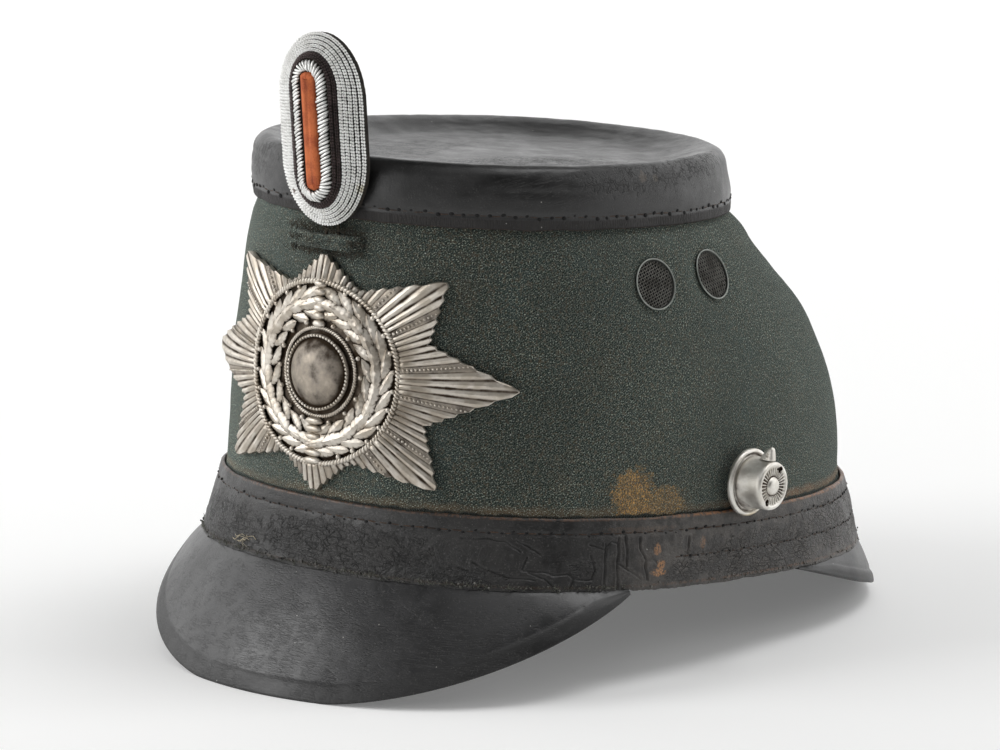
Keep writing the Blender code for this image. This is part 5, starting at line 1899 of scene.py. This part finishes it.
def makeKnob(side, sideName):
    seat = Vector(knob["seat"]) * mm
    facing = Matrix(((0, 0, side), (0, -side, 0), (1, 0, 0))).to_4x4()
    place = hatPlace @ Matrix.Translation((side * seat.x, seat.y, seat.z)) @ facing

    # a row is one radius, height and relief all round, or a list with one for each column
    def turned(rows, count):
        rows = [row if isinstance(row, list) else [row] * count for row in rows]
        grid = [[Vector((r * cos(tau * k / count), r * sin(tau * k / count), h)) * mm for k,
                 (r, h, _) in enumerate(row)]
                for row in rows]
        mesh = skinMesh("turned", grid, loop=False, place=place)
        return tidyNormals(markRelief(mesh, [value for row in rows for _, _, value in row]), 38, 1e-7)

    addPiece(f"knobFlange_{sideName}", turned(knob["flange"], 96), knobFinish, "knob_silver",
             f"knob_flange_{sideName}")
    groove, count = knob["grooves"], knob["sides"]
    fluted = []
    for k in range(groove["rows"] + 1):
        share = k / groove["rows"]
        radius = groove["outer"] + (groove["inner"] - groove["outer"]) * share
        row = []
        for j in range(count):
            ridge = smoothStep(cos(tau * j / count * groove["count"]), -0.15, 0.75)
            cut = smoothStep(share, 0.0, 0.12) * (1 - ridge * (1 - 0.85 * smoothStep(share, 0.7, 1.0)))
            row.append((radius, groove["high"] - (groove["high"] - groove["low"]) * cut, 1 - cut))
        fluted.append(row)
    drum = turned([*knob["drum"], *fluted, *knob["centre"]], count)
    pin = knob["pinHoles"]
    turn, holes = radians(pin["turn"]), []
    for way in (1, -1):
        spot = Vector((cos(turn) * way, -side * sin(turn) * way, 0.0)) * pin["out"] * mm
        holes.append(rodMesh(pin["radius"] * mm, pin["deep"] * mm, 12 * mm, 20,
                             place @ Matrix.Translation(spot)))
    drum = cutMesh(drum, joinMeshes(holes), 38)
    addPiece(f"knobDrum_{sideName}", drum, knobFinish, "knob_silver", f"knob_drum_{sideName}")

    hook, rows = knob["hook"], []
    for k in range(13):
        t = k / 12
        shrink, cap = (1.0, 0.0) if t < 1 else (0.4, 0.12)
        reach = (hook["length"] / 2 * (1 - t) ** 0.75 + 0.45) * shrink
        width = (hook["width"] / 2 * (1 - t) ** 0.35 * 0.8 + 0.35) * shrink
        middle = hook["start"] + hook["length"] * (0.5 + 0.34 * t)
        rows.append([
            Vector((hook["root"] + hook["height"] * t + cap, signedPower(sin(tau * j / 24), 0.6) * width,
                    middle + signedPower(cos(tau * j / 24), 0.6) * reach)) * mm
            for j in range(24)
        ])
    lug = tidyNormals(closeEnds(skinMesh("hook", rows, loop=False, place=place), 24, 13))
    across = place @ Matrix.Translation((8.9 * mm, 0.0, (hook["start"] + 2.9) * mm))
    across = across @ Matrix.Rotation(pi / 2, 4, "X")
    lug = cutMesh(lug, rodMesh(hook["hole"] * mm, -3 * mm, 3 * mm, 14, across), 40)
    markRelief(lug, [0.7] * len(lug.vertices))
    addPiece(f"knobHook_{sideName}", lug, knobFinish, "knob_silver", f"knob_hook_{sideName}")


knobFinish = makeMetalFinish("knobNickelSilver", 1.0, (hatPlace @ (Vector(knob["seat"]) * mm)).z - 8.6 * mm)
for side, sideName in sides:
    makeKnob(side, sideName)
print("knobs ready")


# Sewing and loose fibres

sewing = dict(
    # spacing, thread length and thickness, how deep it lies, size of the near-black bead painted as shade in
    # each stitch hole
    crownStitches=dict(pitch=3.75 * mm, thread=(3.3 * mm, 0.20 * mm), sink=-0.12 * mm,
                       hole=(1.4 * mm, 1.2 * mm, 0.8 * mm)),
    bandStitches=dict(pitch=3.7 * mm, thread=(3.2 * mm, 0.22 * mm), sink=-0.10 * mm,
                      hole=(1.15 * mm, 0.80 * mm, 0.7 * mm)),
    rearStitches=dict(pitch=3.3 * mm, thread=(2.8 * mm, 0.20 * mm), sink=-0.12 * mm,
                      hole=(1.0 * mm, 0.65 * mm, 0.6 * mm)),
)


def alongRow(row, closed=True):  # a strand along points that go round the hat from its right to its left
    count = len(row)
    spots = []
    for k, point in enumerate(row):
        ahead = row[(k + 1) % count] if closed else row[min(k + 1, count - 1)]
        behind = row[k - 1] if closed or k else row[0]
        spots.append((point, (ahead - behind).cross(Vector((0.0, 0.0, 1.0))).normalized()))
    return strand(spots, closed=closed)


def makeStitches(name, one, spec, slotName, seed):
    length, radius = spec["thread"]
    threads = setAlong([one], threadUnit(length, radius, 6, 0.25 * mm), sewingFinish, spec["pitch"],
                       turnSpread=(0.0, 0.03, 0.09), shift=(0.0, 0.0, spec["sink"]), sizeSpread=0.12,
                       shiftSpread=(0.10 * mm, 0.12 * mm, 0.06 * mm), seed=seed)
    addPiece(name, threads, sewingFinish, slotName)
    # near-black beads between the stitches: painted shade standing for the stitch holes
    holes = setAlong([one], beadUnit(8, 6, *spec["hole"]), holeShadeFinish, spec["pitch"],
                     turnSpread=(0.0, 0.0, 0.4),
                     shift=(spec["pitch"] / 2, 0.0, -0.05 * mm), sizeSpread=0.15,
                     shiftSpread=(0.1 * mm, 0.1 * mm, 0.05 * mm),
                     seed=seed)
    addPiece(name.replace("Stitches", "Holes"), holes, holeShadeFinish, slotName)


makeStitches("crownStitches", alongRow(crownSeam), sewing["crownStitches"], "crown_leather", 31)
makeStitches("bandStitches", alongRow(bandSeam), sewing["bandStitches"], "band_leather", 32)
behindLeft = [point for point, bearing in zip(rearSeam, bandBearings) if bearing > band["rearSeam"]["from"]]
behindRight = [point for point, bearing in zip(rearSeam, bandBearings) if bearing < -band["rearSeam"]["from"]]
makeStitches("rearStitches", alongRow(behindLeft + behindRight, closed=False), sewing["rearStitches"],
             "band_leather", 33)

fray = dict(
    # from and to bearing, spacing, length and thickness of a fibre, how far they stray
    greyFray={"from": -58, "to": 62, "pitch": 0.42 * mm, "hair": (1.9 * mm, 0.055 * mm),
              "stray": (0.6, 0.5, 1.3)},
    creamTuft={"from": -17.2, "to": -13.4, "pitch": 0.34 * mm, "hair": (4.2 * mm, 0.075 * mm),
               "stray": (0.5, 0.35, 0.8)},
)


def hairUnit(length, radius):  # one bent hair
    rows = []
    for k in range(5):
        t = k / 4 - 0.5
        middle = Vector((t * length, 0.10 * length * sin(tau * t), 0.12 * length * (0.25 - t * t) * 4))
        rows.append(ringAcross(middle, radius, 3))
    return tidyNormals(closeEnds(skinMesh("hair", rows, loop=False, place=Matrix.Identity(4)), 3, 5))


def makeFray(name, spec, row, finish, lift, seed):
    points = [point for point, bearing in zip(row, bandBearings) if spec["from"] < bearing < spec["to"]]
    hairs = setAlong([alongRow(points, closed=False)], hairUnit(*spec["hair"]), finish, spec["pitch"],
                     sizeSpread=0.45,
                     turnSpread=spec["stray"], shift=(0.0, lift, 0.05 * mm),
                     shiftSpread=(0.4 * mm, 0.35 * mm, 0.05 * mm), seed=seed)
    addPiece(name, hairs, finish, "band_leather")


makeFray("greyFray", fray["greyFray"], bandFoot, makeThreadFinish("greyFibres"), -0.8 * mm, 34)
makeFray("creamTuft", fray["creamTuft"], bandFoot, makeThreadFinish("creamFibres"), 2.2 * mm, 35)
crumbFinish = makeThreadFinish("edgeCrumbs")
crumbs = setAlong([alongRow(bandFoot)], beadUnit(6, 4, 0.5 * mm, 0.4 * mm, 0.35 * mm), crumbFinish, 0.9 * mm,
                  sizeSpread=0.75, turnSpread=(1.0, 1.0, 1.5), shift=(0.0, -0.6 * mm, 0.0),
                  shiftSpread=(0.4 * mm, 0.5 * mm, 0.1 * mm), seed=37)
addPiece("edgeCrumbs", crumbs, crumbFinish, "band_leather")
fluff = dict(rows=(0.0918, 0.0948, 0.0984), reach=13.5 * mm, pitch=0.16 * mm, hair=(2.0 * mm, 0.07 * mm))


def makeFluff():  # the pocket's frayed edges
    strands = []
    for level in fluff["rows"]:
        strands.append(strand([frontPoint(fluff["reach"] * (k / 20 - 1), level,
                                          pocket["stand"] * 1.1) for k in range(41)]))
    hairs = setAlong(strands, hairUnit(*fluff["hair"]), fluffFinish, fluff["pitch"], sizeSpread=0.5,
                     turnSpread=(0.9, 0.7, 1.6),
                     shiftSpread=(0.3 * mm, 0.8 * mm, 0.9 * mm), seed=36)
    addPiece("pocketFluff", hairs, fluffFinish, "cloth")


fluffFinish = makeThreadFinish("pocketFibres")
makeFluff()
print("sewing ready")


# Floor, light and camera

studio = dict(
    backdrop=(1.0, 1.0, 1.0), floor=(0.88, 0.88, 0.875), glow=0.15, surround=(0.03, 0.03, 0.03),
    # name, bearing round the hat from its front, height, distance, width, height of the panel, brightness
    lamps=(
        ("keyLeft", -40, 0.95, 1.50, 1.05, 0.62, 6.4),
        ("stripFront", -20, 0.32, 1.50, 1.05, 0.60, 2.5),
        ("wallLeft", -78, 0.50, 1.50, 1.05, 0.95, 2.1),
        ("wallBack", -140, 0.62, 1.50, 2.40, 1.20, 1.3),
        ("wallRight", 145, 0.62, 1.50, 2.30, 1.20, 1.5),
        ("softTop", 128, 1.70, 0.75, 0.80, 0.80, 5.0),
        ("fillTop", 38, 1.70, 0.75, 0.80, 0.80, 1.0),
        ("fillFront", 30, 0.95, 1.50, 0.52, 0.62, 1.2),
    ),
    aim=Vector((0.0, 0.0, 0.09)),
)
view = dict(
    # bearing of the camera from the hat's front, height above the hat's own level, roll, in degrees
    bearing=38.3, rise=8.05, roll=3.17, distance=1.78465, lens=212.5,
    target=Vector((0.0, 0.0, 0.060)), framing=(-12.97 * mm, -12.70 * mm),
)


def lookAlong(position, back, up):  # a camera or lamp matrix from its own axes
    right = up.cross(back).normalized()
    up = back.cross(right)
    turn = Matrix((right, up, back)).transposed()
    return Matrix.Translation(position) @ turn.to_4x4()


def makeStudio():
    bpy.ops.mesh.primitive_plane_add(size=8.0)
    floor = bpy.context.object
    floor.name = "floor"
    paper = newFinish("palePaper", {"Base Color": (*studio["floor"], 1.0), "Roughness": 0.9,
                                    "Emission Color": (1.0, 1.0, 1.0, 1.0),
                                    "Emission Strength": studio["glow"]})[0]
    floor.data.materials.append(paper)
    for name, bearing, height, distance, wide, tall, brightness in studio["lamps"]:
        lamp = bpy.data.lights.new(name, "AREA")
        lamp.shape, lamp.size, lamp.size_y = "RECTANGLE", wide, tall
        lamp.energy = brightness * pi * wide * tall
        holder = newObject(name, lamp)
        angle = radians(bearing)
        spot = Vector((sin(angle) * distance, -cos(angle) * distance, height))
        holder.matrix_world = lookAlong(spot, (spot - studio["aim"]).normalized(), Vector((0.001, 0, 1)))
    world = bpy.data.worlds.new("studio")
    bpy.context.scene.world = world
    world.use_nodes = True
    seen = addNode(world.node_tree, "ShaderNodeLightPath", out="Is Camera Ray")
    feed(world.node_tree.nodes["Background"], dict(Color=tint(seen, studio["surround"], studio["backdrop"])))


def makeCamera():
    bearing, rise, roll = (radians(view[key]) for key in ("bearing", "rise", "roll"))
    back = Vector((sin(bearing) * cos(rise), -cos(bearing) * cos(rise), sin(rise)))
    level = Vector((cos(bearing), sin(bearing), 0.0))
    upright = back.cross(level)
    right = level * cos(roll) + upright * sin(roll)
    up = upright * cos(roll) - level * sin(roll)
    position = view["target"] + back * view["distance"]
    aim = view["target"] + right * view["framing"][0] + up * view["framing"][1]
    lens = bpy.data.cameras.new("camera")
    lens.lens, lens.sensor_width, lens.clip_start, lens.clip_end = view["lens"], 36.0, 0.05, 20.0
    camera = newObject("camera", lens)
    camera.matrix_world = hatPlace @ lookAlong(position, (position - aim).normalized(), up)
    bpy.context.scene.camera = camera


makeStudio()
makeCamera()
bpy.context.scene.view_settings.view_transform = "Standard"
print("studio ready")
